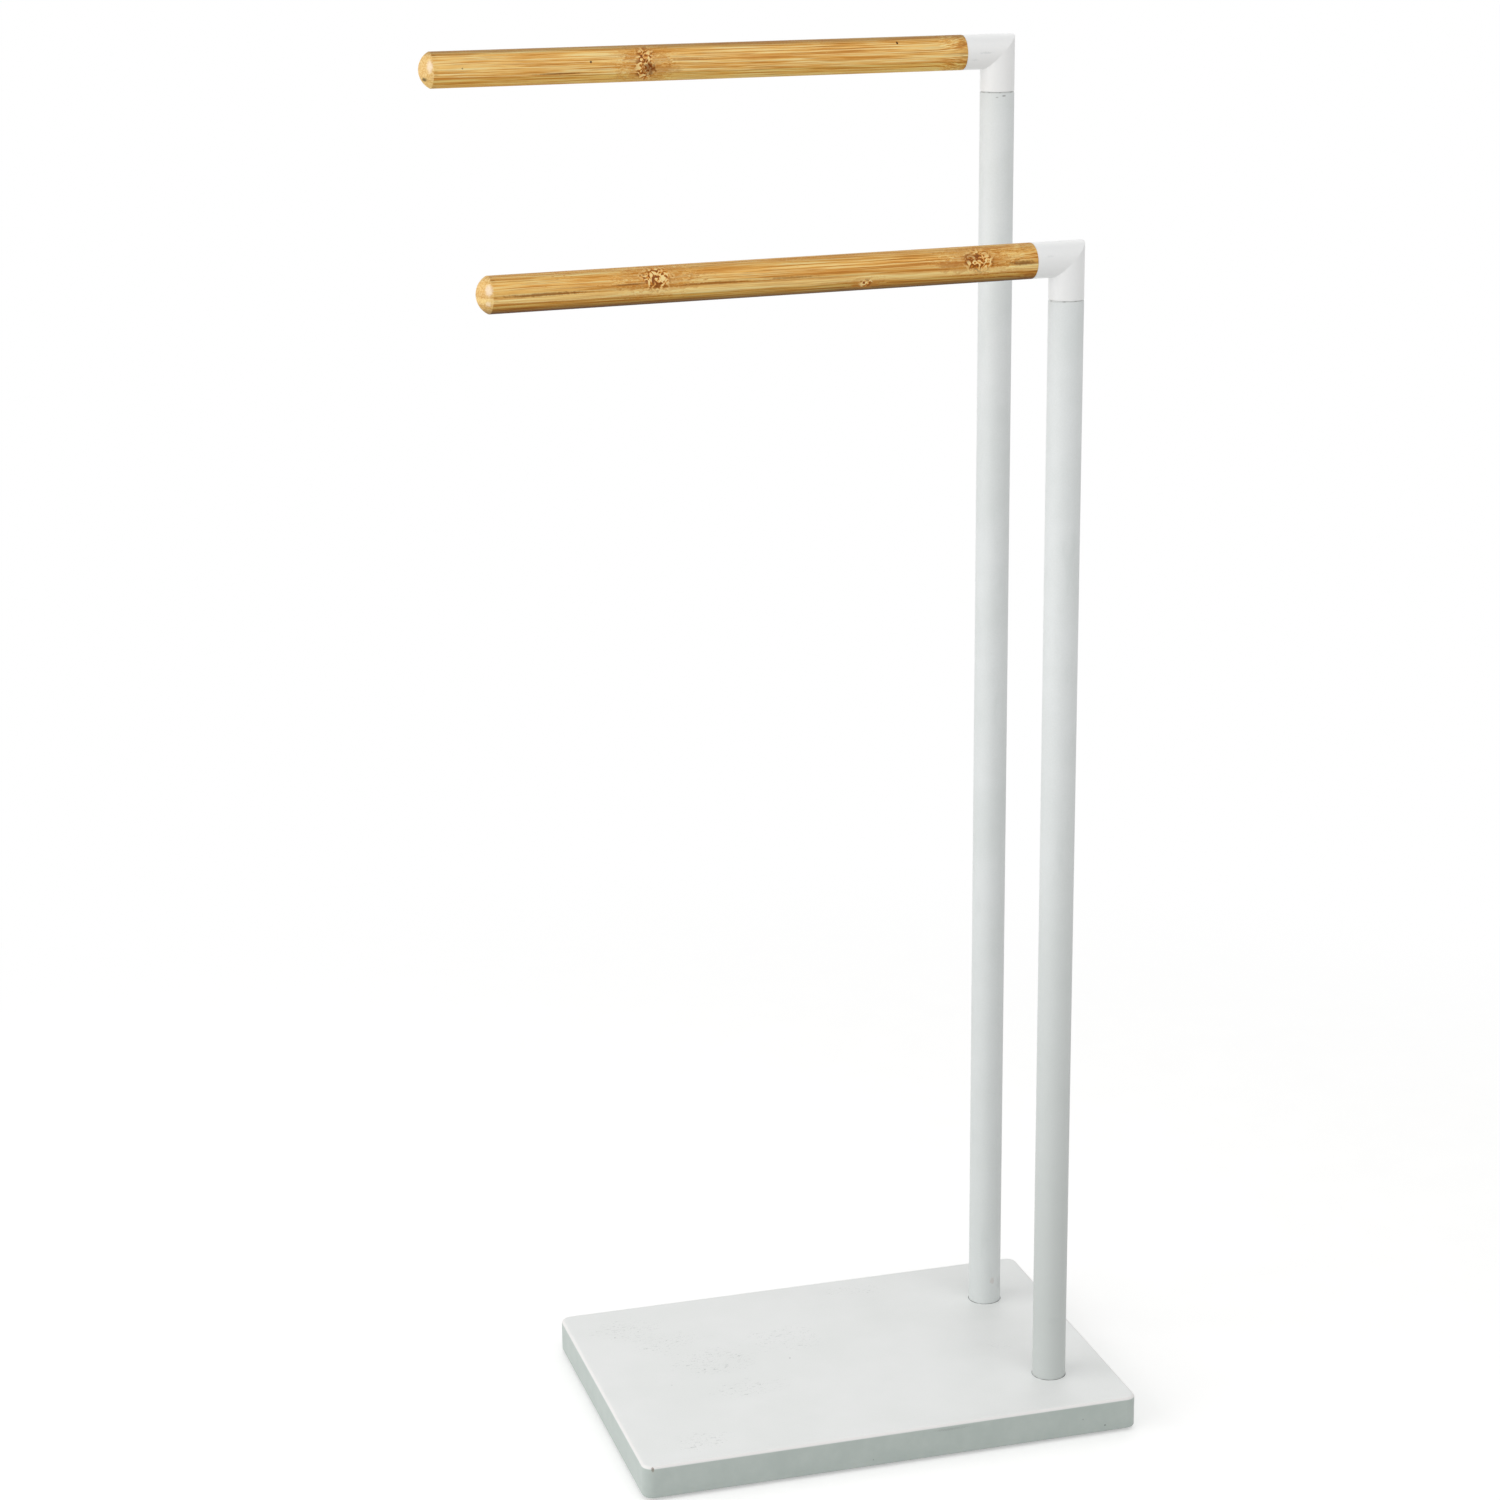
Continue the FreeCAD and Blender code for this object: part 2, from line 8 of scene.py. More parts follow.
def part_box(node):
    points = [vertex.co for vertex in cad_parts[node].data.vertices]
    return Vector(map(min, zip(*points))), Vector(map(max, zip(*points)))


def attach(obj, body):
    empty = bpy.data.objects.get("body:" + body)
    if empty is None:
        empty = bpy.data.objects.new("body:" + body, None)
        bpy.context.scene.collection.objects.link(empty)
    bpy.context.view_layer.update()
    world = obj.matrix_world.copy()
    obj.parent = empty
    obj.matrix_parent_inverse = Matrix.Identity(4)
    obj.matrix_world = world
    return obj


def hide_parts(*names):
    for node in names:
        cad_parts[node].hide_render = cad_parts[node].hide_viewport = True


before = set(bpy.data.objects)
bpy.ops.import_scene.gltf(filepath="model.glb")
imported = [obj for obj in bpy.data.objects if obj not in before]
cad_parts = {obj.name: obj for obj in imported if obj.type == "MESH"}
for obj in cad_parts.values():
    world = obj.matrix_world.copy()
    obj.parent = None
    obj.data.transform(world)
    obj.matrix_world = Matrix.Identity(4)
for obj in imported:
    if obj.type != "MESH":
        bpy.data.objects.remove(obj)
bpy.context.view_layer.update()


# ---- The base board ----------------------------------------------------------------------------
# A slab of fibreboard with round corners and softened edges, sprayed all over with white satin
# lacquer. Counterbored holes in its underside take the poles' bolts. The lacquer is a little
# scuffed on top, and chipped at the front left corner, where the brown board shows.

CORNER_RADIUS = 0.0065
TOP_ROUND = 0.002
BOTTOM_ROUND = 0.0008
COUNTERBORE_RADIUS = 0.010
COUNTERBORE_DEPTH = 0.009
BOLT_HOLE_RADIUS = 0.0045
# The drill starts at this height, under the board, and goes this far past its top
BELOW_BOARD = 0.001
DRILL_PAST_TOP = 0.01
CHIP_RADIUS = 0.001
CHIP_SCALE = (0.75, 0.7, 1.7)
# Points no further apart than this count as touching
TOUCHING = 1e-6


def deselect_all():
    """Nothing stays selected, so that the next operator acts on its own piece alone."""
    bpy.ops.object.select_all(action="DESELECT")


def take(piece):
    """Select one piece alone and make it the active one."""
    deselect_all()
    bpy.context.view_layer.objects.active = piece
    piece.select_set(True)


def open_piece(piece):
    """Open a piece for editing, with nothing in it selected."""
    take(piece)
    bpy.ops.object.mode_set(mode="EDIT")
    bpy.ops.mesh.select_mode(type="EDGE")
    bpy.ops.mesh.select_all(action="DESELECT")


def select_edges(piece, wanted):
    """In an open piece, select the edges whose two ends pass a test, and no others."""
    bpy.ops.mesh.select_all(action="DESELECT")
    mesh = bmesh.from_edit_mesh(piece.data)
    for edge in mesh.edges:
        if wanted(edge.verts[0].co, edge.verts[1].co):
            edge.select_set(True)
    bmesh.update_edit_mesh(piece.data)


def close_piece():
    bpy.ops.object.mode_set(mode="OBJECT")


def settle(piece):
    """Put a piece's place into its mesh, so that its object sits at the origin, unturned."""
    take(piece)
    bpy.ops.object.transform_apply(location=True, rotation=True, scale=True)


def work_in(piece, kind, **settings):
    """Give a piece a modifier and apply it."""
    take(piece)
    modifier = piece.modifiers.new(kind.lower(), kind)
    for name, value in settings.items():
        setattr(modifier, name, value)
    bpy.ops.object.modifier_apply(modifier=modifier.name)


def cut_away(piece, cutter):
    """Take a cutter's shape out of a piece, and throw the cutter away."""
    work_in(piece, "BOOLEAN", operation="DIFFERENCE", solver="EXACT", object=cutter)
    bpy.data.objects.remove(cutter)


def drill(piece, x, y, bottom, top, radius):
    """A round upright hole in a piece, from one height to another."""
    deselect_all()
    middle = (x, y, (bottom + top) / 2)
    bpy.ops.mesh.primitive_cylinder_add(vertices=72, radius=radius, depth=top - bottom, location=middle)
    cut_away(piece, bpy.context.object)


def smooth_over(piece, angle=35):
    """Smooth shading over soft edges, with flat faces kept flat beside them."""
    take(piece)
    bpy.ops.object.shade_smooth_by_angle(angle=math.radians(angle))
    work_in(piece, "WEIGHTED_NORMAL", keep_sharp=True)


board_low, board_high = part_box("base_board")
board_size = board_high - board_low
deselect_all()
bpy.ops.mesh.primitive_cube_add(size=1, location=(board_low + board_high) / 2, scale=board_size)
board = bpy.context.object
board.name = "lacquered_board"
settle(board)

open_piece(board)
select_edges(board, lambda a, b: abs(a.z - b.z) > board_size.z / 2)
bpy.ops.mesh.bevel(offset=CORNER_RADIUS, segments=12, profile=0.5, affect="EDGES")
select_edges(board, lambda a, b: min(a.z, b.z) > board_high.z - TOUCHING)
bpy.ops.mesh.bevel(offset=TOP_ROUND, segments=8, profile=0.5, affect="EDGES")
select_edges(board, lambda a, b: max(a.z, b.z) < board_low.z + TOUCHING)
bpy.ops.mesh.bevel(offset=BOTTOM_ROUND, segments=4, profile=0.5, affect="EDGES")
close_piece()

pole_axes = {}
for side in ("rear", "front"):
    pole_low, pole_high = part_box(f"{side}_pole")
    x, y = (pole_low.x + pole_high.x) / 2, (pole_low.y + pole_high.y) / 2
    pole_axes[side] = (x, y)
    drill(board, x, y, BELOW_BOARD, board_low.z + COUNTERBORE_DEPTH, COUNTERBORE_RADIUS)
    drill(board, x, y, board_low.z, board_high.z + DRILL_PAST_TOP, BOLT_HOLE_RADIUS)

# A chip out of the top edge beside the front left corner, deeper than it is wide
chip_place = Vector((board_low.x + 0.0052, board_low.y + 0.0001, board_high.z - 0.0012))
deselect_all()
bpy.ops.mesh.primitive_ico_sphere_add(
    subdivisions=3, radius=CHIP_RADIUS, location=chip_place, scale=CHIP_SCALE
)
cut_away(board, bpy.context.object)
smooth_over(board)

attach(board, "stand")
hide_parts("base_board")


def put(tree, kind, inputs, **settings):
    """A node with its settings, and with a value or another node's output in each input."""
    node = tree.nodes.new(f"ShaderNode{kind}")
    for name, value in settings.items():
        setattr(node, name, value)
    for name, value in inputs.items():
        if isinstance(value, bpy.types.NodeSocket):
            tree.links.new(value, node.inputs[name])
        else:
            node.inputs[name].default_value = value
    return node


def sums(tree, operation, a, b=0.0, c=0.0):
    """Arithmetic on up to three values."""
    return put(tree, "Math", {0: a, 1: b, 2: c}, operation=operation).outputs[0]


def times(tree, a, b):
    return sums(tree, "MULTIPLY", a, b)


def blend(tree, a, share, b):
    """Two values added up: the first has a share of the whole, and the second has the rest."""
    return sums(tree, "MULTIPLY_ADD", a, share, times(tree, b, 1.0 - share))


def moved(tree, operation, a, b):
    """Two vectors put together."""
    return put(tree, "VectorMath", {0: a, 1: b}, operation=operation).outputs[0]


def length_of(tree, vector):
    return put(tree, "VectorMath", {0: vector}, operation="LENGTH").outputs["Value"]


def clouds(tree, place, scale, detail=2.0, roughness=0.5, distortion=0.0):
    """Soft uneven light and dark from 0 to 1; the larger the scale, the finer."""
    inputs = {"Vector": place, "Scale": scale, "Detail": detail, "Roughness": roughness}
    return put(tree, "TexNoise", inputs | {"Distortion": distortion}).outputs["Fac"]


def streaks(tree, place, scales, detail=2.0, roughness=0.5, distortion=0.0):
    """Clouds that have a scale of their own along X, Y and Z."""
    return clouds(tree, moved(tree, "MULTIPLY", place, scales), 1.0, detail, roughness, distortion)


def ramp_up(tree, value, start, end, low=0.0, high=1.0):
    """Low where the value is at start and high where it is at end, softly in between."""
    inputs = {"Value": value, "From Min": start, "From Max": end, "To Min": low, "To Max": high}
    return put(tree, "MapRange", inputs, interpolation_type="SMOOTHSTEP").outputs["Result"]


def lay_over(tree, under, over, amount, blend_type="MIX"):
    """One colour over another, as far as the amount says."""
    mix = put(tree, "Mix", {0: amount, 6: under, 7: over}, data_type="RGBA", blend_type=blend_type)
    return mix.outputs[2]


def colour(red, green, blue):
    """A colour given as on a paint card, from 0 to 255."""
    parts = [part / 255 for part in (red, green, blue)]
    linear = [part / 12.92 if part <= 0.04045 else ((part + 0.055) / 1.055) ** 2.4 for part in parts]
    return (*linear, 1.0)


def start_group(name, inputs, outputs):
    """A shader node group with its sockets, and what is read from it and put out of it."""
    group = bpy.data.node_groups.new(name, "ShaderNodeTree")
    for direction, sockets in (("INPUT", inputs), ("OUTPUT", outputs)):
        for socket, kind in sockets.items():
            group.interface.new_socket(socket, in_out=direction, socket_type=f"NodeSocket{kind}")
    given = group.nodes.new("NodeGroupInput").outputs
    return group, given, group.nodes.new("NodeGroupOutput").inputs


def use_group(tree, group, inputs):
    """A shader node group placed in a finish, with its own values."""
    node = tree.nodes.new("ShaderNodeGroup")
    node.node_tree = group
    for name, value in inputs.items():
        if isinstance(value, bpy.types.NodeSocket):
            tree.links.new(value, node.inputs[name])
        else:
            node.inputs[name].default_value = value
    return node.outputs


def start_finish(name, **constants):
    """A new material, its nodes, its shader with its constants, and a point's place on the object."""
    material = bpy.data.materials.new(name)
    material.use_nodes = True
    tree = material.node_tree
    shader = tree.nodes["Principled BSDF"]
    for socket, value in constants.items():
        shader.inputs[socket.replace("_", " ")].default_value = value
    return material, tree, shader, put(tree, "TexCoord", {}).outputs["Object"]


def set_finish(tree, shader, base, roughness, height, depth):
    """Join the worked out colour, roughness and surface height, in metres, to the shader."""
    tree.links.new(base, shader.inputs["Base Color"])
    tree.links.new(roughness, shader.inputs["Roughness"])
    bump = put(tree, "Bump", {"Strength": 1.0, "Distance": depth, "Height": height})
    tree.links.new(bump.outputs["Normal"], shader.inputs["Normal"])


def make_mark_group():
    """A mark with an uneven rim: 1 in the middle of a place, 0 from its given half sizes on."""
    sockets = {"Vector": "Vector", "Place": "Vector", "Size": "Vector"}
    sockets |= {"Grain": "Float", "Unevenness": "Float"}
    group, given, out = start_group("uneven mark", sockets, {"Mask": "Float"})
    away = moved(group, "DIVIDE", moved(group, "SUBTRACT", given["Vector"], given["Place"]), given["Size"])
    distance = length_of(group, away)
    ragged = sums(group, "SUBTRACT", clouds(group, given["Vector"], given["Grain"], 3.0, 0.6), 0.5)
    rim = sums(group, "MULTIPLY_ADD", ragged, given["Unevenness"], distance)
    group.links.new(ramp_up(group, rim, 1.0, 0.35), out["Mask"])
    return group


def make_skin_group():
    """The skin of a sprayed or moulded surface: its tone and its slight waves, each 0 to 1.

    Pitch is about the width of its fine cells, in metres.
    """
    outputs = {"Tone": "Float", "Height": "Float"}
    group, given, out = start_group("coat skin", {"Vector": "Vector", "Pitch": "Float"}, outputs)
    cells = sums(group, "DIVIDE", 1.0, given["Pitch"])
    wide = clouds(group, given["Vector"], times(group, cells, 0.02), 3.0, 0.55)
    fine = clouds(group, given["Vector"], cells, 2.0, 0.5)
    waves = clouds(group, given["Vector"], times(group, cells, 0.4), 1.0, 0.4)
    group.links.new(blend(group, fine, 0.3, wide), out["Tone"])
    group.links.new(blend(group, fine, 0.4, waves), out["Height"])
    return group


uneven_mark = make_mark_group()
coat_skin = make_skin_group()


def add_marks(tree, place, base, marks):
    """Lay marks over a colour: each has a place, half sizes, colour, strength, grain, unevenness."""
    for spot, size, tint, strength, grain, unevenness in marks:
        inputs = {"Vector": place, "Place": spot, "Size": size, "Grain": grain, "Unevenness": unevenness}
        mask = use_group(tree, uneven_mark, inputs)["Mask"]
        base = lay_over(tree, base, tint, times(tree, mask, strength))
    return base


# Where the scuffs lie on the board's top: the middle of each, its half sizes and its strength
BOARD_SCUFFS = [
    ((-0.080, 0.075), (0.026, 0.018), 0.9),
    ((-0.062, 0.050), (0.030, 0.020), 0.8),
    ((-0.038, 0.016), (0.034, 0.024), 1.0),
    ((-0.030, -0.026), (0.030, 0.014), 0.9),
    ((0.012, 0.034), (0.030, 0.022), 0.8),
    ((-0.073, -0.084), (0.024, 0.014), 1.0),
    ((0.074, 0.088), (0.028, 0.010), 0.6),
    ((0.137, -0.016), (0.012, 0.010), 0.5),
]
SCUFF_HALF_HEIGHT = 0.01
# The middle of each small dark speck on the lacquer, and its half size
BOARD_SPECKS = [
    ((0.0071, 0.0060, 0.022), 0.0006),
    ((-0.0890, 0.0660, 0.022), 0.0005),
    ((-0.0730, 0.0700, 0.022), 0.0004),
    ((-0.0720, -0.0080, 0.022), 0.0004),
    ((0.1702, -0.106, 0.0062), 0.0007),
    ((0.1560, -0.106, 0.0120), 0.0004),
    ((0.0240, -0.106, 0.0060), 0.0004),
]
# A dashed rub near the front edge's top
RUB_PLACE = (0.0722, board_low.y, 0.0186)
RUB_HALF_SIZES = (0.013, 0.002, 0.0009)
CHIP_STAIN_HALF_SIZES = (0.0011, 0.0012, 0.0024)
# How far below the board's top the painted shade of the sides starts and is whole
SIDE_SHADE_START, SIDE_SHADE_WHOLE = 0.0011, 0.0019
# The middle of the painted highlight band on the rounded edge, measured the same way, and its half widths
HIGHLIGHT_MIDDLE, HIGHLIGHT_END, HIGHLIGHT_WHOLE = 0.0007, 0.0008, 0.0004
# How far below the board's top a point may lie and still be on top, at all and wholly
TOP_END, TOP_WHOLE = 0.0004, 0.0001
# The painted shade round a pole's foot ends and is whole at these distances from the pole's axis
FOOT_SHADE_END, FOOT_SHADE_WHOLE = 0.01055, 0.01015
LACQUER_PITCH = 0.0011
LACQUER_WAVES = 0.00002

LACQUER_SHADES = colour(232, 235, 233), colour(239, 241, 240)
# The sides' colours, darkened as painted shade
SHADED_SIDE_SHADES = colour(183, 193, 188), colour(190, 199, 194)
PAINTED_EDGE_HIGHLIGHT = colour(244, 239, 237)
SCUFF_GREY = colour(176, 180, 178)
SPECK_GREY = colour(92, 96, 94)
RUB_GREY = colour(136, 143, 139)
BROWN_BOARD = colour(118, 92, 66)
PAINTED_FOOT_SHADE = colour(96, 99, 98)


def make_white_lacquer():
    material, tree, shader, place = start_finish("white lacquer", IOR=1.5)
    skin = use_group(tree, coat_skin, {"Vector": place, "Pitch": LACQUER_PITCH})
    base = lay_over(tree, *LACQUER_SHADES, ramp_up(tree, skin["Tone"], 0.3, 0.7))
    top = board_high.z
    z = put(tree, "SeparateXYZ", {"Vector": place}).outputs["Z"]

    # The sides are painted darker than the top as painted shade, and a little green and blotchy
    on_shaded_side = ramp_up(tree, z, top - SIDE_SHADE_START, top - SIDE_SHADE_WHOLE)
    blotches = clouds(tree, place, 70.0, 4.0, 0.6)
    edge = lay_over(tree, *SHADED_SIDE_SHADES, ramp_up(tree, blotches, 0.3, 0.7))
    base = lay_over(tree, base, edge, on_shaded_side)

    # Along the rounded top edge a lighter band is painted on: a painted highlight
    from_middle = sums(tree, "ABSOLUTE", sums(tree, "SUBTRACT", z, top - HIGHLIGHT_MIDDLE))
    on_highlight_band = ramp_up(tree, from_middle, HIGHLIGHT_END, HIGHLIGHT_WHOLE)
    base = lay_over(tree, base, PAINTED_EDGE_HIGHLIGHT, times(tree, on_highlight_band, 0.6))

    # Scuffed patches: short grey hairlines and specks, only on the top
    on_top = ramp_up(tree, z, top - TOP_END, top - TOP_WHOLE)
    hairlines = streaks(tree, place, (260.0, 700.0, 1.0), 4.0, 0.7, 0.6)
    specks = clouds(tree, place, 900.0, 3.0, 0.65)
    worn = sums(tree, "MAXIMUM", ramp_up(tree, hairlines, 0.56, 0.72), ramp_up(tree, specks, 0.60, 0.74))
    patches = 0.0
    for (patch_x, patch_y), (half_x, half_y), strength in BOARD_SCUFFS:
        inputs = {
            "Vector": place,
            "Place": (patch_x, patch_y, top),
            "Size": (half_x, half_y, SCUFF_HALF_HEIGHT),
            "Grain": 90.0,
            "Unevenness": 1.6,
        }
        patch = times(tree, use_group(tree, uneven_mark, inputs)["Mask"], strength)
        patches = sums(tree, "MAXIMUM", patches, patch)
    scuffed = times(tree, times(tree, patches, worn), on_top)
    base = lay_over(tree, base, SCUFF_GREY, times(tree, scuffed, 0.9))

    # The specks, the rub, and the chip that shows the brown board
    marks = [(spot, (half, half, half), SPECK_GREY, 0.85, 2000.0, 0.7) for spot, half in BOARD_SPECKS]
    marks.append((RUB_PLACE, RUB_HALF_SIZES, RUB_GREY, 0.32, 1500.0, 3.4))
    marks.append((chip_place, CHIP_STAIN_HALF_SIZES, BROWN_BOARD, 0.9, 1800.0, 0.8))
    base = add_marks(tree, place, base, marks)

    # A broken dark line round the foot of each pole: painted contact shade
    for pole_x, pole_y in pole_axes.values():
        from_axis = moved(tree, "SUBTRACT", place, (pole_x, pole_y, 0.0))
        distance = length_of(tree, moved(tree, "MULTIPLY", from_axis, (1.0, 1.0, 0.0)))
        ring = times(tree, ramp_up(tree, distance, FOOT_SHADE_END, FOOT_SHADE_WHOLE), on_top)
        broken = ramp_up(tree, clouds(tree, place, 260.0, 2.0, 0.6), 0.25, 0.6, 0.35, 1.0)
        base = lay_over(tree, base, PAINTED_FOOT_SHADE, times(tree, ring, broken))

    satin = ramp_up(tree, skin["Tone"], 0.2, 0.8, 0.36, 0.46)
    roughness = sums(tree, "MULTIPLY_ADD", scuffed, 0.2, satin)
    height = sums(tree, "MULTIPLY_ADD", scuffed, -0.4, skin["Height"])
    set_finish(tree, shader, base, roughness, height, LACQUER_WAVES)
    return material


board.data.materials.append(make_white_lacquer())


# ---- The four foot pads ------------------------------------------------------------------------
# Thin round discs of grey rubber, stuck under the board's corners so that it doesn't slide.
# The solids have their shape, so they only take a finish.

PAD_SHADES = colour(112, 113, 114), colour(136, 137, 138)
PAD_PITCH = 0.0005
RUBBER_DUST = colour(150, 148, 142)
RUBBER_GRAIN = 0.00004


def clothe(nodes, material):
    """Give pieces of the frame a finish."""
    for name in nodes:
        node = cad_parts[name]
        if not node.material_slots:
            node.data.materials.append(material)
        for slot in node.material_slots:
            slot.material = material


def make_rubber(name, shades, pitch):
    material, tree, shader, place = start_finish(name, IOR=1.5)
    skin = use_group(tree, coat_skin, {"Vector": place, "Pitch": pitch})
    dust_and_shade = ramp_up(tree, clouds(tree, place, 420.0, 4.0, 0.65), 0.52, 0.75)
    base = lay_over(tree, *shades, ramp_up(tree, skin["Tone"], 0.3, 0.7))
    base = lay_over(tree, base, RUBBER_DUST, times(tree, dust_and_shade, 0.25))
    roughness = ramp_up(tree, skin["Tone"], 0.2, 0.8, 0.72, 0.9)
    set_finish(tree, shader, base, roughness, skin["Height"], RUBBER_GRAIN)
    return material


pads = [f"foot_pad_{row}_{column}" for row in ("front", "rear") for column in ("left", "right")]
clothe(pads, make_rubber("grey pad rubber", PAD_SHADES, PAD_PITCH))


# ---- The bolts, washers and foot plugs ---------------------------------------------------------
# A socket bolt comes up through the board into a threaded plug in each pole's foot, with a
# spring washer and a flat washer in the counterbore. All are zinc plated steel, hidden from
# above. The solids have their shape, so they only take a finish.

ZINC_SHADES = colour(182, 184, 186), colour(214, 217, 221)
TURNING_MARKS = 0.000015


def make_metal(name, shades, rough, smooth):
    material, tree, shader, place = start_finish(name, Metallic=1.0)
    turned = streaks(tree, place, (120.0, 120.0, 5200.0))
    blotches = clouds(tree, place, 240.0, 4.0, 0.6)
    tone = blend(tree, turned, 0.4, blotches)
    base = lay_over(tree, *shades, ramp_up(tree, tone, 0.3, 0.7))
    roughness = ramp_up(tree, tone, 0.25, 0.75, rough, smooth)
    set_finish(tree, shader, base, roughness, turned, TURNING_MARKS)
    return material


zinc_plate = make_metal("zinc plate", ZINC_SHADES, 0.42, 0.26)
base_hardware = ("pole_foot_plug", "base_bolt", "flat_washer", "spring_washer")
clothe([f"{side}_{part}" for side in pole_axes for part in base_hardware], zinc_plate)


# ---- The two poles -----------------------------------------------------------------------------
# Round steel tube, 20 mm across with a 1 mm wall, cut square and coated in matt white powder.
# The coat has the slight waves of baked powder, a few smudges from hands near the foot, small dark chips
# at the rear pole's upper end, and painted shade that darkens it towards the foot.

TUBE_RADIUS = 0.010
TUBE_WALL = 0.001
TUBE_END_ROUND = 0.0002
ROUND_SIDES = 128


def make_pole(side):
    low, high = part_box(f"{side}_pole")
    deselect_all()
    bpy.ops.mesh.primitive_cylinder_add(
        vertices=ROUND_SIDES,
        radius=TUBE_RADIUS,
        depth=high.z - low.z,
        end_fill_type="NOTHING",
        location=(*pole_axes[side], (low.z + high.z) / 2),
    )
    pole = bpy.context.object
    pole.name = f"{side}_coated_pole"
    settle(pole)
    work_in(pole, "SOLIDIFY", thickness=TUBE_WALL, offset=-1.0, use_even_offset=True)
    open_piece(pole)
    select_edges(
        pole,
        lambda a, b: min(a.z, b.z) > high.z - TOUCHING or max(a.z, b.z) < low.z + TOUCHING,
    )
    bpy.ops.mesh.bevel(offset=TUBE_END_ROUND, segments=2, profile=0.5, affect="EDGES")
    close_piece()
    smooth_over(pole, angle=40)
    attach(pole, "stand")
    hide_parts(f"{side}_pole")
    return pole


# The height at which the painted shade on a pole starts, darkening it towards the foot, and where it is
# whole
POLE_SHADE_START, POLE_SHADE_WHOLE = 0.5, 0.02
# How strong each pole's painted shade is at the foot
POLE_FOOT_SHADE = {"rear": 0.35, "front": 0.85}
POWDER_PITCH = 0.0009
POWDER_WAVES = 0.00003
POWDER_SHADES = colour(223, 227, 226), colour(232, 235, 235)
RUBBED_POWDER = colour(208, 214, 212)
SHADED_POWDER = colour(196, 201, 198)


def make_powder_coat(name, marks, dust_and_shade):
    material, tree, shader, place = start_finish(name, IOR=1.5)
    skin = use_group(tree, coat_skin, {"Vector": place, "Pitch": POWDER_PITCH})
    base = lay_over(tree, *POWDER_SHADES, ramp_up(tree, skin["Tone"], 0.3, 0.7))
    rubs = streaks(tree, place, (90.0, 90.0, 22.0), 4.0, 0.6)
    base = lay_over(tree, base, RUBBED_POWDER, ramp_up(tree, rubs, 0.55, 0.8, 0.0, 0.35))
    z = put(tree, "SeparateXYZ", {"Vector": place}).outputs["Z"]
    # Painted shade darkens the coat towards the foot
    base = lay_over(tree, base, SHADED_POWDER, ramp_up(tree, z, POLE_SHADE_START, POLE_SHADE_WHOLE, 0.0, dust_and_shade))
    base = add_marks(tree, place, base, marks)
    roughness = ramp_up(tree, rubs, 0.3, 0.7, 0.56, 0.46)
    set_finish(tree, shader, base, roughness, skin["Height"], POWDER_WAVES)
    return material


POLE_MARKS = {
    "rear": [
        ((0.1530, 0.0430, 0.0376), (0.0020, 0.004, 0.0030), colour(198, 188, 182), 0.45, 700.0, 1.6),
        ((0.1585, 0.0450, 0.0350), (0.0030, 0.004, 0.0070), colour(196, 200, 198), 0.35, 500.0, 1.8),
        ((0.1521, 0.0425, 0.7803), (0.0016, 0.002, 0.0005), colour(96, 92, 88), 0.7, 2200.0, 1.4),
        ((0.1480, 0.0431, 0.7795), (0.0010, 0.002, 0.0004), colour(120, 116, 112), 0.5, 2200.0, 1.4),
    ],
    "front": [
        ((0.1500, -0.0700, 0.0892), (0.0120, 0.010, 0.0010), colour(200, 206, 204), 0.28, 600.0, 2.4),
        ((0.1503, -0.0703, 0.0611), (0.0050, 0.006, 0.0030), colour(194, 199, 197), 0.25, 400.0, 2.2),
        ((0.1560, -0.0690, 0.0560), (0.0030, 0.006, 0.0090), colour(200, 204, 202), 0.25, 400.0, 2.2),
    ],
}
for side in pole_axes:
    powder_coat = make_powder_coat(f"{side} powder coat", POLE_MARKS[side], POLE_FOOT_SHADE[side])
    make_pole(side).data.materials.append(powder_coat)


# ---- The swivel: bush, pin and ring ------------------------------------------------------------
# A flanged nylon bush is pressed into the pole's upper end; its thin flange is the grey hairline
# under the elbow. The elbow's steel pin turns in it, held by a rubber ring in a groove. The
# solids have their shape, so they only take a finish.

NYLON_PITCH = 0.0006
NYLON_WAVES = 0.00002
NYLON_SHADES = colour(200, 202, 200), colour(226, 228, 226)
NYLON_GRIME = colour(110, 108, 104)
RING_PITCH = 0.0003
RING_SHADES = colour(34, 34, 35), colour(52, 52, 54)


def make_nylon():
    material, tree, shader, place = start_finish("natural nylon", IOR=1.53)
    skin = use_group(tree, coat_skin, {"Vector": place, "Pitch": NYLON_PITCH})
    base = lay_over(tree, *NYLON_SHADES, ramp_up(tree, skin["Tone"], 0.25, 0.75))
    grime = ramp_up(tree, clouds(tree, place, 330.0, 3.0, 0.65), 0.5, 0.72)
    base = lay_over(tree, base, NYLON_GRIME, times(tree, grime, 0.5))
    roughness = ramp_up(tree, skin["Tone"], 0.2, 0.8, 0.42, 0.55)
    set_finish(tree, shader, base, roughness, skin["Height"], NYLON_WAVES)
    return material


clothe([f"{side}_pole_bush" for side in pole_axes], make_nylon())
clothe([f"{side}_swivel_pin" for side in pole_axes], zinc_plate)
ring_rubber = make_rubber("black ring rubber", RING_SHADES, RING_PITCH)
clothe([f"{side}_friction_ring" for side in pole_axes], ring_rubber)


# ---- The two elbows ----------------------------------------------------------------------------
# Moulded white plastic, the same 20 mm across as the pole: one upright leg and one level leg
# that meet in a square mitre, whose crease is crisp. They are smoother and whiter than the
# coated poles, and sit on the bush's flange.

ELBOW_LEG = 0.0225
ELBOW_WALL = 0.003
ELBOW_MOUTH_CHAMFER = 0.0003
CREASE_ROUND = 0.0003
# A point this near to the mitre is on it, and one this near to the outer surface is outside
ON_THE_MITRE = 1e-5
OUTER_SKIN = 1e-4
# How far each arm is turned towards the front
ARM_TURNS = {"rear": math.radians(3), "front": math.radians(6)}


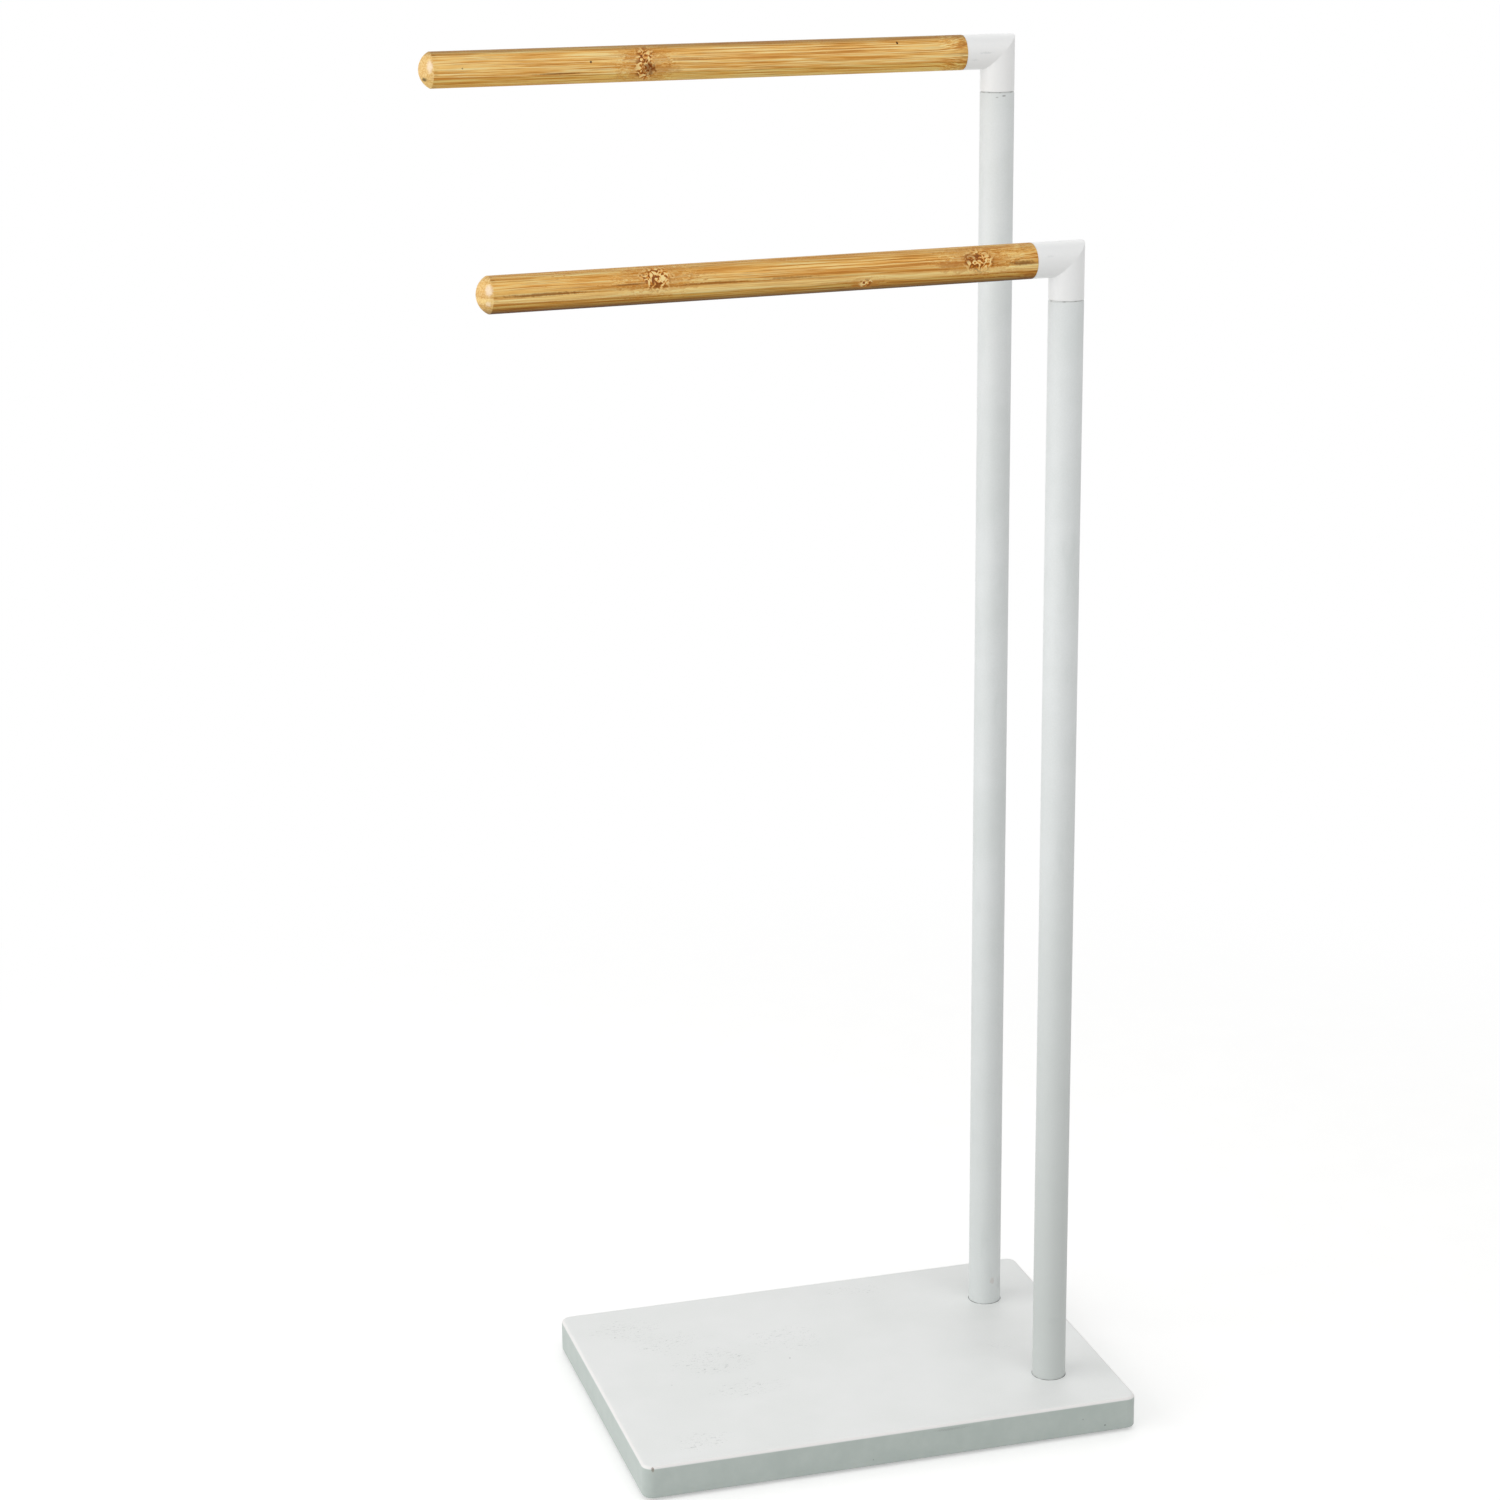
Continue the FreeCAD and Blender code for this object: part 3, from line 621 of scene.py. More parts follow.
def make_mitred_leg(upright):
    """One open leg of the elbow, cut off along the mitre; its corner lies above the origin."""
    corner = Vector((0, 0, ELBOW_LEG))
    away = Vector((0, 0, -1)) if upright else Vector((-1, 0, 0))
    past_corner = 2 * TUBE_RADIUS
    deselect_all()
    bpy.ops.mesh.primitive_cylinder_add(
        vertices=ROUND_SIDES,
        radius=TUBE_RADIUS,
        depth=ELBOW_LEG + past_corner,
        end_fill_type="NOTHING",
        location=corner + away * (ELBOW_LEG - past_corner) / 2,
        rotation=(0, 0 if upright else -math.pi / 2, 0),
    )
    leg = bpy.context.object
    settle(leg)
    open_piece(leg)
    bpy.ops.mesh.select_all(action="SELECT")
    kept_side = {"clear_inner": True} if upright else {"clear_outer": True}
    bpy.ops.mesh.bisect(plane_co=corner, plane_no=(1, 0, -1), **kept_side)
    close_piece()
    return leg


def at_outer_mouth(point):
    """Whether a point of the elbow is on the outer rim of one of its two mouths."""
    if abs(point.z) < TOUCHING:
        return math.hypot(point.x, point.y) > TUBE_RADIUS - OUTER_SKIN
    if abs(point.x + ELBOW_LEG) < TOUCHING:
        return math.hypot(point.z - ELBOW_LEG, point.y) > TUBE_RADIUS - OUTER_SKIN
    return False


def make_elbow():
    """An elbow with its lower mouth on the origin and its level leg towards -X."""
    elbow, other = make_mitred_leg(True), make_mitred_leg(False)
    take(elbow)
    other.select_set(True)
    bpy.ops.object.join()
    open_piece(elbow)
    bpy.ops.mesh.select_all(action="SELECT")
    bpy.ops.mesh.remove_doubles(threshold=ON_THE_MITRE)
    select_edges(elbow, lambda a, b: max(abs(end.z - ELBOW_LEG - end.x) for end in (a, b)) < ON_THE_MITRE)
    bpy.ops.mesh.bevel(offset=CREASE_ROUND, segments=3, profile=0.5, affect="EDGES")
    close_piece()
    work_in(elbow, "SOLIDIFY", thickness=ELBOW_WALL, offset=-1.0, use_even_offset=True)
    open_piece(elbow)
    select_edges(elbow, lambda a, b: at_outer_mouth(a) and at_outer_mouth(b))
    bpy.ops.mesh.bevel(offset=ELBOW_MOUTH_CHAMFER, segments=2, profile=0.5, affect="EDGES")
    close_piece()
    return elbow


def copy_to_arm(piece, side, name):
    """A copy of a piece with its own mesh, turned and set on one arm."""
    copy = piece.copy()
    copy.data = piece.data.copy()
    copy.name = name
    bpy.context.scene.collection.objects.link(copy)
    copy.location = (*pole_axes[side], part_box(f"{side}_elbow")[0].z)
    copy.rotation_euler = (0, 0, ARM_TURNS[side])
    settle(copy)
    return copy


PLASTIC_PITCH = 0.0014
PLASTIC_WAVES = 0.00001
PLASTIC_SHADES = colour(239, 240, 240), colour(244, 244, 243)


def make_white_plastic(name, marks):
    material, tree, shader, place = start_finish(name, IOR=1.5)
    skin = use_group(tree, coat_skin, {"Vector": place, "Pitch": PLASTIC_PITCH})
    base = lay_over(tree, *PLASTIC_SHADES, ramp_up(tree, skin["Tone"], 0.3, 0.7))
    base = add_marks(tree, place, base, marks)
    hairs = streaks(tree, place, (900.0, 300.0, 1500.0), 3.0, 0.7)
    roughness = ramp_up(tree, hairs, 0.35, 0.75, 0.34, 0.44)
    set_finish(tree, shader, base, roughness, skin["Height"], PLASTIC_WAVES)
    return material


ELBOW_MARKS = {
    "rear": [
        ((0.1400, 0.0425, 0.8050), (0.0050, 0.004, 0.0008), colour(204, 207, 208), 0.4, 900.0, 2.2),
        ((0.1340, 0.0425, 0.8010), (0.0034, 0.004, 0.0006), colour(206, 208, 209), 0.35, 900.0, 2.2),
    ],
    "front": [
        ((0.1370, -0.0705, 0.7020), (0.0030, 0.004, 0.0007), colour(208, 210, 211), 0.3, 900.0, 2.2),
    ],
}
elbow_shape = make_elbow()
for side in pole_axes:
    elbow = copy_to_arm(elbow_shape, side, f"{side}_moulded_elbow")
    smooth_over(elbow, angle=40)
    elbow.data.materials.append(make_white_plastic(f"{side} elbow plastic", ELBOW_MARKS[side]))
    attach(elbow, f"{side}_arm")
    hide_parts(f"{side}_elbow")
bpy.data.objects.remove(elbow_shape)


# ---- The rods' fixings -------------------------------------------------------------------------
# A brass plug in the elbow's level leg, a steel stud and a steel insert in the rod hold the rod
# against the elbow. They are hidden. The solids have their shape, so they only take a finish.

BRASS_SHADES = colour(176, 140, 78), colour(214, 180, 112)

turned_brass = make_metal("turned brass", BRASS_SHADES, 0.36, 0.22)
clothe([f"{side}_elbow_plug" for side in pole_axes], turned_brass)
clothe([f"{side}_{part}" for side in pole_axes for part in ("rod_stud", "rod_insert")], zinc_plate)


# ---- The two towel rods ------------------------------------------------------------------------
# Bars of laminated bamboo strips, turned to 20 mm, with a low dome on the free end, a blind hole
# for the insert at the root, and a clear satin lacquer. Dark, curly knuckles cross a strip where
# the bamboo's joints were, and fine fibres run along it.

ROD_RADIUS = 0.010
ROD_REACH = 0.343
ROD_DOME_HEIGHT = 0.006
ROD_BORE_RADIUS = 0.00502
ROD_BORE_DEPTH = 0.021
ROD_ROOT_CHAMFER = 0.0003
DOME_FOOT = ROD_REACH - ROD_DOME_HEIGHT


def rod_profile():
    """The rod's half section as (distance from the pole's axis, distance from the rod's own)."""
    ball = (ROD_RADIUS**2 + ROD_DOME_HEIGHT**2) / (2 * ROD_DOME_HEIGHT)
    profile = [
        (ELBOW_LEG + ROD_BORE_DEPTH, 0),
        (ELBOW_LEG + ROD_BORE_DEPTH, ROD_BORE_RADIUS),
        (ELBOW_LEG, ROD_BORE_RADIUS),
        (ELBOW_LEG, ROD_RADIUS - ROD_ROOT_CHAMFER),
        (ELBOW_LEG + ROD_ROOT_CHAMFER, ROD_RADIUS),
    ]
    lengths = 24
    start = ELBOW_LEG + ROD_ROOT_CHAMFER
    profile += [(start + (DOME_FOOT - start) * n / lengths, ROD_RADIUS) for n in range(1, lengths + 1)]
    rings = 14
    whole = math.asin(ROD_RADIUS / ball)
    for n in range(rings - 1, -1, -1):
        angle = whole * n / rings
        profile.append((ROD_REACH - ball + ball * math.cos(angle), ball * math.sin(angle)))
    return profile


def make_rod():
    """A rod along -X at the elbow's corner height, spun from its half section."""
    profile = rod_profile()
    deselect_all()
    # A small plane, merged to the one point that the half section is drawn out of
    bpy.ops.mesh.primitive_plane_add(size=0.001, location=(-profile[0][0], 0, ELBOW_LEG))
    rod = bpy.context.object
    settle(rod)
    open_piece(rod)
    bpy.ops.mesh.select_mode(type="VERT")
    bpy.ops.mesh.select_all(action="SELECT")
    bpy.ops.mesh.merge(type="CENTER")
    for (x, radius), (next_x, next_radius) in zip(profile, profile[1:]):
        step = (-(next_x - x), 0, next_radius - radius)
        bpy.ops.mesh.extrude_vertices_move(TRANSFORM_OT_translate={"value": step})
    bpy.ops.mesh.select_all(action="SELECT")
    bpy.ops.mesh.spin(steps=ROUND_SIDES, angle=math.tau, center=(0, 0, ELBOW_LEG), axis=(1, 0, 0))
    bpy.ops.mesh.select_all(action="SELECT")
    bpy.ops.mesh.remove_doubles(threshold=TOUCHING)
    bpy.ops.mesh.normals_make_consistent(inside=False)
    close_piece()
    return rod


# The width that a fibre wanders within
FIBRE_DRIFT = 0.0007
# A knuckle's stain is longer along the rod than its curls are
STAIN_STRETCH = (0.3, 1.0, 1.0)
STAIN_SIZE = (0.7, 1.3, 1.1)


def make_fibre_group():
    """Bamboo's fibres along X: their tone, the thin dark ones, and their relief, each 0 to 1."""
    outputs = {"Tone": "Float", "Dark": "Float", "Height": "Float"}
    group, given, out = start_group("bamboo fibres", {"Vector": "Vector"}, outputs)
    slow = moved(group, "MULTIPLY", given["Vector"], (8.0, 60.0, 60.0))
    drift = put(group, "TexNoise", {"Vector": slow, "Scale": 1.0}).outputs["Color"]
    drift = moved(group, "SUBTRACT", drift, (0.5, 0.5, 0.5))
    drift = moved(group, "MULTIPLY", drift, (0.0, FIBRE_DRIFT, FIBRE_DRIFT))
    along = moved(group, "ADD", given["Vector"], drift)
    broad = streaks(group, along, (10.0, 260.0, 260.0))
    middle = streaks(group, along, (17.0, 1500.0, 1500.0), 3.0, 0.65)
    fine = streaks(group, along, (30.0, 2900.0, 2900.0), 3.0, 0.65)
    tone = sums(group, "MULTIPLY_ADD", middle, 0.52, times(group, broad, 0.1))
    tone = sums(group, "MULTIPLY_ADD", fine, 0.38, tone)
    group.links.new(ramp_up(group, tone, 0.405, 0.595), out["Tone"])
    dashes = streaks(group, along, (24.0, 2000.0, 2000.0), 2.0, 0.6)
    group.links.new(ramp_up(group, dashes, 0.56, 0.67), out["Dark"])
    group.links.new(blend(group, fine, 0.5, middle), out["Height"])
    return group


def make_knuckle_group():
    """A knuckle of bamboo: its mask, the stained fibres round it, and its curls, each 0 to 1."""
    sockets = {"Vector": "Vector", "Place": "Vector", "Size": "Vector"}
    outputs = {"Mask": "Float", "Stain": "Float", "Curls": "Float"}
    group, given, out = start_group("bamboo knuckle", sockets, outputs)
    inputs = {name: given[name] for name in sockets}
    mask = use_group(group, uneven_mark, inputs | {"Grain": 300.0, "Unevenness": 1.0})["Mask"]
    group.links.new(mask, out["Mask"])
    inputs = {
        "Vector": moved(group, "MULTIPLY", given["Vector"], STAIN_STRETCH),
        "Place": moved(group, "MULTIPLY", given["Place"], STAIN_STRETCH),
        "Size": moved(group, "MULTIPLY", given["Size"], STAIN_SIZE),
    }
    stain = use_group(group, uneven_mark, inputs | {"Grain": 900.0, "Unevenness": 2.2})["Mask"]
    group.links.new(stain, out["Stain"])
    curls = clouds(group, given["Vector"], 330.0, 3.0, 0.6, 1.2)
    group.links.new(ramp_up(group, curls, 0.42, 0.58), out["Curls"])
    return group


bamboo_fibres = make_fibre_group()
bamboo_knuckle = make_knuckle_group()


def shade_by(tree, value, shades):
    """A colour for each part of a value from 0 to 1: shades lists (value, colour) upwards."""
    ramp = put(tree, "ValToRGB", {"Fac": value})
    stops = ramp.color_ramp.elements
    for number, (position, shade) in enumerate(shades):
        stop = stops[number] if number < 2 else stops.new(position)
        stop.position = position
        stop.color = colour(*shade)
    return ramp.outputs["Color"]


FIBRE_SHADES = [
    (0.0, (203, 133, 58)),
    (0.34, (240, 180, 100)),
    (0.62, (255, 209, 132)),
    (1.0, (255, 234, 180)),
]
CURL_SHADES = [
    (0.0, (124, 58, 2)),
    (0.36, (184, 102, 12)),
    (0.62, (236, 158, 60)),
    (1.0, (255, 228, 160)),
]
DARK_FIBRE = colour(172, 104, 30)
ORANGE_PATCH = colour(226, 152, 60)
KNUCKLE_STAIN = colour(196, 126, 48)
CUT_FIBRES = colour(150, 98, 40)
END_GRAIN_SHADES = colour(220, 172, 102), colour(248, 216, 158)
NICK_BROWN = colour(132, 84, 30)
# How far a knuckle bends the fibres, and the width that the glue lines wander within
KNUCKLE_BEND = 0.0012
STRIP_WANDER = 0.0016
# Distances along the rod from the elbow's mouth: the fibres spread between the first two, and
# the rim of cut fibres fades in from the third to the fourth
FAN_START, FAN_WHOLE = 0.020, -0.004
RIM_START, RIM_WHOLE = 0.012, 0.001
# The dome's finish fades in over this far on both sides of its crease. The nicks lie along a line
# this far before the crease, and reach this far to each side of that line.
CREASE_BLUR = 0.0002
NICK_LINE, NICK_SPREAD = 0.0012, 0.0026
BAMBOO_RELIEF = 0.00004


def make_bamboo(side, strips_and_shade, knuckles, marks, fan):
    """The finish of one rod, in its own frame: X from the pole's axis, Y to the front, Z up.

    strips_and_shade lists (height, tint) from the underside up, the tints holding both the strips' colour
    and painted shade, knuckles lists (place, half sizes), and fan is how far the fibres spread at the root
    end.
    """
    material, tree, shader, place = start_finish(
        f"{side} bamboo", IOR=1.5, Specular_IOR_Level=0.0, Coat_Weight=0.22, Coat_Roughness=0.25
    )
    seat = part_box(f"{side}_elbow")[0].z
    inputs = {
        "Vector": place,
        "Location": (*pole_axes[side], seat + ELBOW_LEG),
        "Rotation": (0, 0, ARM_TURNS[side] + math.pi),
    }
    place = put(tree, "Mapping", inputs, vector_type="TEXTURE").outputs[0]
    distances = put(tree, "SeparateXYZ", {"Vector": place}).outputs
    x, z = distances["X"], distances["Z"]

    # The fibres bend round the knuckles, and spread towards the root end
    bend, made = 0.0, []
    for spot, size in knuckles:
        knuckle = use_group(tree, bamboo_knuckle, {"Vector": place, "Place": spot, "Size": size})
        bend = sums(tree, "MULTIPLY_ADD", knuckle["Stain"], KNUCKLE_BEND, bend)
        made.append(knuckle)
    spread = ramp_up(tree, x, ELBOW_LEG + FAN_START, ELBOW_LEG + FAN_WHOLE, 1.0, 1.0 - fan)
    spread_out = put(tree, "CombineXYZ", {"X": 1.0, "Y": 1.0, "Z": spread}).outputs[0]
    bent = moved(tree, "ADD", place, put(tree, "CombineXYZ", {"X": 0.0, "Y": 0.0, "Z": bend}).outputs[0])
    fibres = use_group(tree, bamboo_fibres, {"Vector": moved(tree, "MULTIPLY", bent, spread_out)})
    base = shade_by(tree, fibres["Tone"], FIBRE_SHADES)
    base = lay_over(tree, base, DARK_FIBRE, times(tree, fibres["Dark"], 0.6))

    # Orange and brown patches, longer than they are wide
    patches = streaks(tree, place, (16.0, 300.0, 300.0), 3.0, 0.55)
    base = lay_over(tree, base, ORANGE_PATCH, ramp_up(tree, patches, 0.52, 0.72, 0.0, 0.3))

    # The strips that the bar is glued up from, with painted shade in their tints
    wander = sums(tree, "SUBTRACT", streaks(tree, place, (9.0, 5.0, 5.0)), 0.5)
    wandering = sums(tree, "MULTIPLY_ADD", wander, STRIP_WANDER, z)
    inputs = {"Value": wandering, "From Min": -ROD_RADIUS, "From Max": ROD_RADIUS}
    level = put(tree, "MapRange", inputs).outputs["Result"]
    strip_and_shade_tint = shade_by(tree, level, [((height / ROD_RADIUS + 1) / 2, tint) for height, tint in strips_and_shade])
    base = lay_over(tree, base, strip_and_shade_tint, 1.0, "MULTIPLY")

    # Cut fibres make a speckled brown rim at the root end
    specks = streaks(tree, place, (170.0, 1500.0, 1500.0), 3.0, 0.65)
    at_root = ramp_up(tree, x, ELBOW_LEG + RIM_START, ELBOW_LEG + RIM_WHOLE, 0.0, fan)
    base = lay_over(tree, base, CUT_FIBRES, times(tree, at_root, ramp_up(tree, specks, 0.38, 0.66)))

    bumps = fibres["Height"]
    for knuckle in made:
        base = lay_over(tree, base, KNUCKLE_STAIN, times(tree, knuckle["Stain"], 0.55))
        curls = shade_by(tree, knuckle["Curls"], CURL_SHADES)
        base = lay_over(tree, base, curls, times(tree, knuckle["Mask"], 0.9))
        raised = times(tree, knuckle["Mask"], knuckle["Curls"])
        bumps = sums(tree, "MULTIPLY_ADD", raised, 0.7, bumps)

    # The dome cuts across the fibres, so their pale ends show there, and the strips' joints
    on_dome = ramp_up(tree, x, DOME_FOOT - CREASE_BLUR, DOME_FOOT + CREASE_BLUR)
    ends = streaks(tree, place, (200.0, 1300.0, 1300.0), 3.0, 0.6)
    end_grain = lay_over(tree, *END_GRAIN_SHADES, ramp_up(tree, ends, 0.35, 0.65))
    end_grain = lay_over(tree, end_grain, strip_and_shade_tint, 0.6, "MULTIPLY")
    base = lay_over(tree, base, end_grain, times(tree, on_dome, 0.85))

    # Small brown nicks beside the dome's crease, and the rod's marks on top of all, among them pale spots
    # on the dome that are painted highlights
    from_nicks = sums(tree, "ABSOLUTE", sums(tree, "SUBTRACT", x, DOME_FOOT - NICK_LINE))
    at_nicks = ramp_up(tree, from_nicks, NICK_SPREAD, 0.0)
    nicks = streaks(tree, place, (120.0, 1400.0, 1400.0), 2.0, 0.6)
    nicked = times(tree, at_nicks, ramp_up(tree, nicks, 0.55, 0.68))
    base = lay_over(tree, base, NICK_BROWN, times(tree, nicked, 0.8))
    base = add_marks(tree, place, base, marks)

    roughness = ramp_up(tree, fibres["Tone"], 0.0, 1.0, 0.52, 0.40)
    set_finish(tree, shader, base, roughness, bumps, BAMBOO_RELIEF)
    return material


# Each strip's height and tint from the underside up: the front rod's lowest, darkest tints are painted
# shade on its underside, and the rear rod's tints grow darker towards the top
ROD_STRIPS_AND_SHADE = {
    "rear": [
        (-0.0100, (240, 243, 210)),
        (-0.0056, (238, 236, 198)),
        (-0.0050, (222, 214, 172)),
        (-0.0044, (247, 247, 232)),
        (0.0074, (250, 250, 234)),
        (0.0084, (216, 210, 188)),
        (0.0094, (188, 180, 154)),
    ],
    "front": [
        (-0.0100, (84, 68, 38)),
        (-0.0088, (128, 108, 68)),
        (-0.0066, (198, 186, 140)),
        (-0.0052, (222, 210, 164)),
        (-0.0047, (204, 188, 142)),
        (-0.0042, (238, 238, 220)),
        (-0.0010, (252, 254, 238)),
        (-0.0005, (222, 208, 176)),
        (0.0000, (230, 220, 192)),
        (0.0024, (242, 236, 212)),
        (0.0060, (250, 246, 222)),
        (0.0092, (224, 218, 196)),
    ],
}
# The middle of each knuckle and its half sizes
ROD_KNUCKLES = {
    "rear": [
        ((0.2166, 0.0090, -0.0005), (0.0078, 0.010, 0.0150)),
        ((0.1120, -0.0080, 0.0020), (0.0078, 0.010, 0.0140)),
        ((0.2860, -0.0080, -0.0020), (0.0078, 0.010, 0.0140)),
    ],
    "front": [
        ((0.2465, 0.0085, 0.0046), (0.0115, 0.010, 0.0095)),
        ((0.1262, 0.0085, -0.0050), (0.0060, 0.006, 0.0034)),
        ((0.0590, 0.0088, 0.0028), (0.0120, 0.010, 0.0084)),
        ((0.1640, -0.0080, 0.0000), (0.0078, 0.010, 0.0140)),
        ((0.3020, -0.0080, 0.0030), (0.0078, 0.010, 0.0120)),
    ],
}
DARK_SAP = colour(134, 80, 28)
ROD_MARKS_AND_HIGHLIGHTS = {
    "rear": [
        ((0.2660, 0.0090, -0.0036), (0.0190, 0.003, 0.0006), DARK_SAP, 0.75, 700.0, 0.8),
        ((0.2479, 0.0098, 0.0022), (0.0009, 0.002, 0.0009), colour(62, 24, 4), 1.0, 3000.0, 0.4),
        ((0.0653, 0.0072, 0.0070), (0.0009, 0.002, 0.0011), colour(62, 24, 4), 1.0, 3000.0, 0.6),
        ((0.3210, 0.0099, 0.0010), (0.0006, 0.002, 0.0006), colour(110, 70, 34), 0.8, 3000.0, 0.5),
        ((0.2040, 0.0095, -0.0030), (0.0120, 0.003, 0.0030), colour(190, 132, 66), 0.5, 500.0, 1.6),
        ((0.1930, 0.0095, 0.0020), (0.0140, 0.003, 0.0010), colour(176, 114, 50), 0.55, 500.0, 1.4),
        ((0.2142, 0.0095, -0.0022), (0.0046, 0.004, 0.0056), colour(116, 54, 2), 0.75, 600.0, 2.0),
        ((0.3410, 0.0040, -0.0047), (0.0024, 0.003, 0.0014), colour(92, 80, 48), 0.85, 1500.0, 1.2),
        # A pale spot on the dome is a painted highlight
        ((0.3385, 0.0075, 0.0022), (0.0022, 0.004, 0.0042), colour(255, 238, 216), 0.65, 500.0, 0.8),
    ],
    "front": [
        ((0.1800, 0.0090, -0.0024), (0.4000, 0.020, 0.0023), colour(255, 228, 156), 0.35, 300.0, 0.3),
        ((0.3080, 0.0096, -0.0001), (0.0300, 0.003, 0.0012), DARK_SAP, 0.7, 500.0, 1.4),
        ((0.2620, 0.0098, 0.0022), (0.0120, 0.003, 0.0006), DARK_SAP, 0.8, 800.0, 0.8),
        ((0.2150, 0.0098, 0.0003), (0.0300, 0.003, 0.0010), DARK_SAP, 0.5, 500.0, 1.4),
        ((0.1700, 0.0099, 0.0006), (0.0200, 0.003, 0.0009), DARK_SAP, 0.5, 600.0, 1.4),
        ((0.0760, 0.0096, 0.0020), (0.0110, 0.003, 0.0024), colour(188, 124, 58), 0.6, 400.0, 1.6),
        ((0.0320, 0.0099, 0.0006), (0.0100, 0.003, 0.0016), colour(116, 70, 28), 0.7, 700.0, 1.4),
        ((0.0640, 0.0090, 0.0052), (0.0060, 0.004, 0.0034), colour(144, 78, 16), 0.55, 600.0, 1.8),
        # Two pale spots on the dome are painted highlights
        ((0.3385, 0.0072, 0.0032), (0.0026, 0.004, 0.0040), colour(255, 238, 216), 0.65, 500.0, 0.8),
        ((0.3390, 0.0070, -0.0036), (0.0020, 0.003, 0.0022), colour(255, 236, 210), 0.45, 700.0, 1.2),
    ],
}
ROOT_FAN = {"rear": 0.5, "front": 0.25}
rod_shape = make_rod()
for side in pole_axes:
    rod = copy_to_arm(rod_shape, side, f"{side}_bamboo_rod")
    smooth_over(rod, angle=24)
    bamboo = make_bamboo(side, ROD_STRIPS_AND_SHADE[side], ROD_KNUCKLES[side], ROD_MARKS_AND_HIGHLIGHTS[side], ROOT_FAN[side])
    rod.data.materials.append(bamboo)
    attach(rod, f"{side}_arm")
    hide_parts(f"{side}_rod")
bpy.data.objects.remove(rod_shape)


# ---- The floor ---------------------------------------------------------------------------------
# A plain pale floor that takes the stand's soft shadow. Seen by the camera, in gloss or through
# glass it has a white of its own, which grows to full white a metre out, where the room is.

FLOOR_SIZE = 12
FLOOR_DROP = 0.0001
FLOOR_SHADES = colour(222, 222, 221), colour(228, 228, 227)
FLOOR_GLOW = 0.40
WHITE = (1, 1, 1, 1)
# How far out from the stand the full white starts, and where it is whole
WHITE_START, WHITE_WHOLE = 0.5, 1.1


def where_seen(tree):
    """1 for what the camera, gloss and glass see, and 0 for the light that reaches the object."""
    path = put(tree, "LightPath", {}).outputs
    in_gloss_or_glass = sums(tree, "MAXIMUM", path["Is Glossy Ray"], path["Is Transmission Ray"])
    return sums(tree, "MAXIMUM", path["Is Camera Ray"], in_gloss_or_glass)


def make_floor_finish():
    material = bpy.data.materials.new("pale floor")
    material.use_nodes = True
    tree = material.node_tree
    tree.nodes.remove(tree.nodes["Principled BSDF"])
    place = put(tree, "TexCoord", {}).outputs["Object"]
    pale = lay_over(tree, *FLOOR_SHADES, clouds(tree, place, 30.0, 4.0, 0.6))
    lit = put(tree, "BsdfDiffuse", {"Color": pale})
    seen = where_seen(tree)
    glow = put(tree, "Emission", {"Color": WHITE, "Strength": times(tree, seen, FLOOR_GLOW)})
    near = put(tree, "AddShader", {0: lit.outputs[0], 1: glow.outputs[0]})
    full = put(tree, "Emission", {"Color": WHITE, "Strength": 1.0})
    far = times(tree, ramp_up(tree, length_of(tree, place), WHITE_START, WHITE_WHOLE), seen)
    shown = put(tree, "MixShader", {0: far, 1: near.outputs[0], 2: full.outputs[0]})
    tree.links.new(shown.outputs[0], tree.nodes["Material Output"].inputs["Surface"])
    return material


deselect_all()
bpy.ops.mesh.primitive_plane_add(size=FLOOR_SIZE, location=(0, 0, -FLOOR_DROP))
floor = bpy.context.object
floor.name = "floor"
settle(floor)
floor.data.materials.append(make_floor_finish())


# ---- The light and the camera ------------------------------------------------------------------
# Four large soft boxes, two to the left, one in front and one behind, in a pale room that is
# white where it is seen. The camera stands where the photograph was taken from.

# The room's strength as light on the object, and where it is seen
ROOM_LIGHT = 0.53
ROOM_WHITE = 1.0
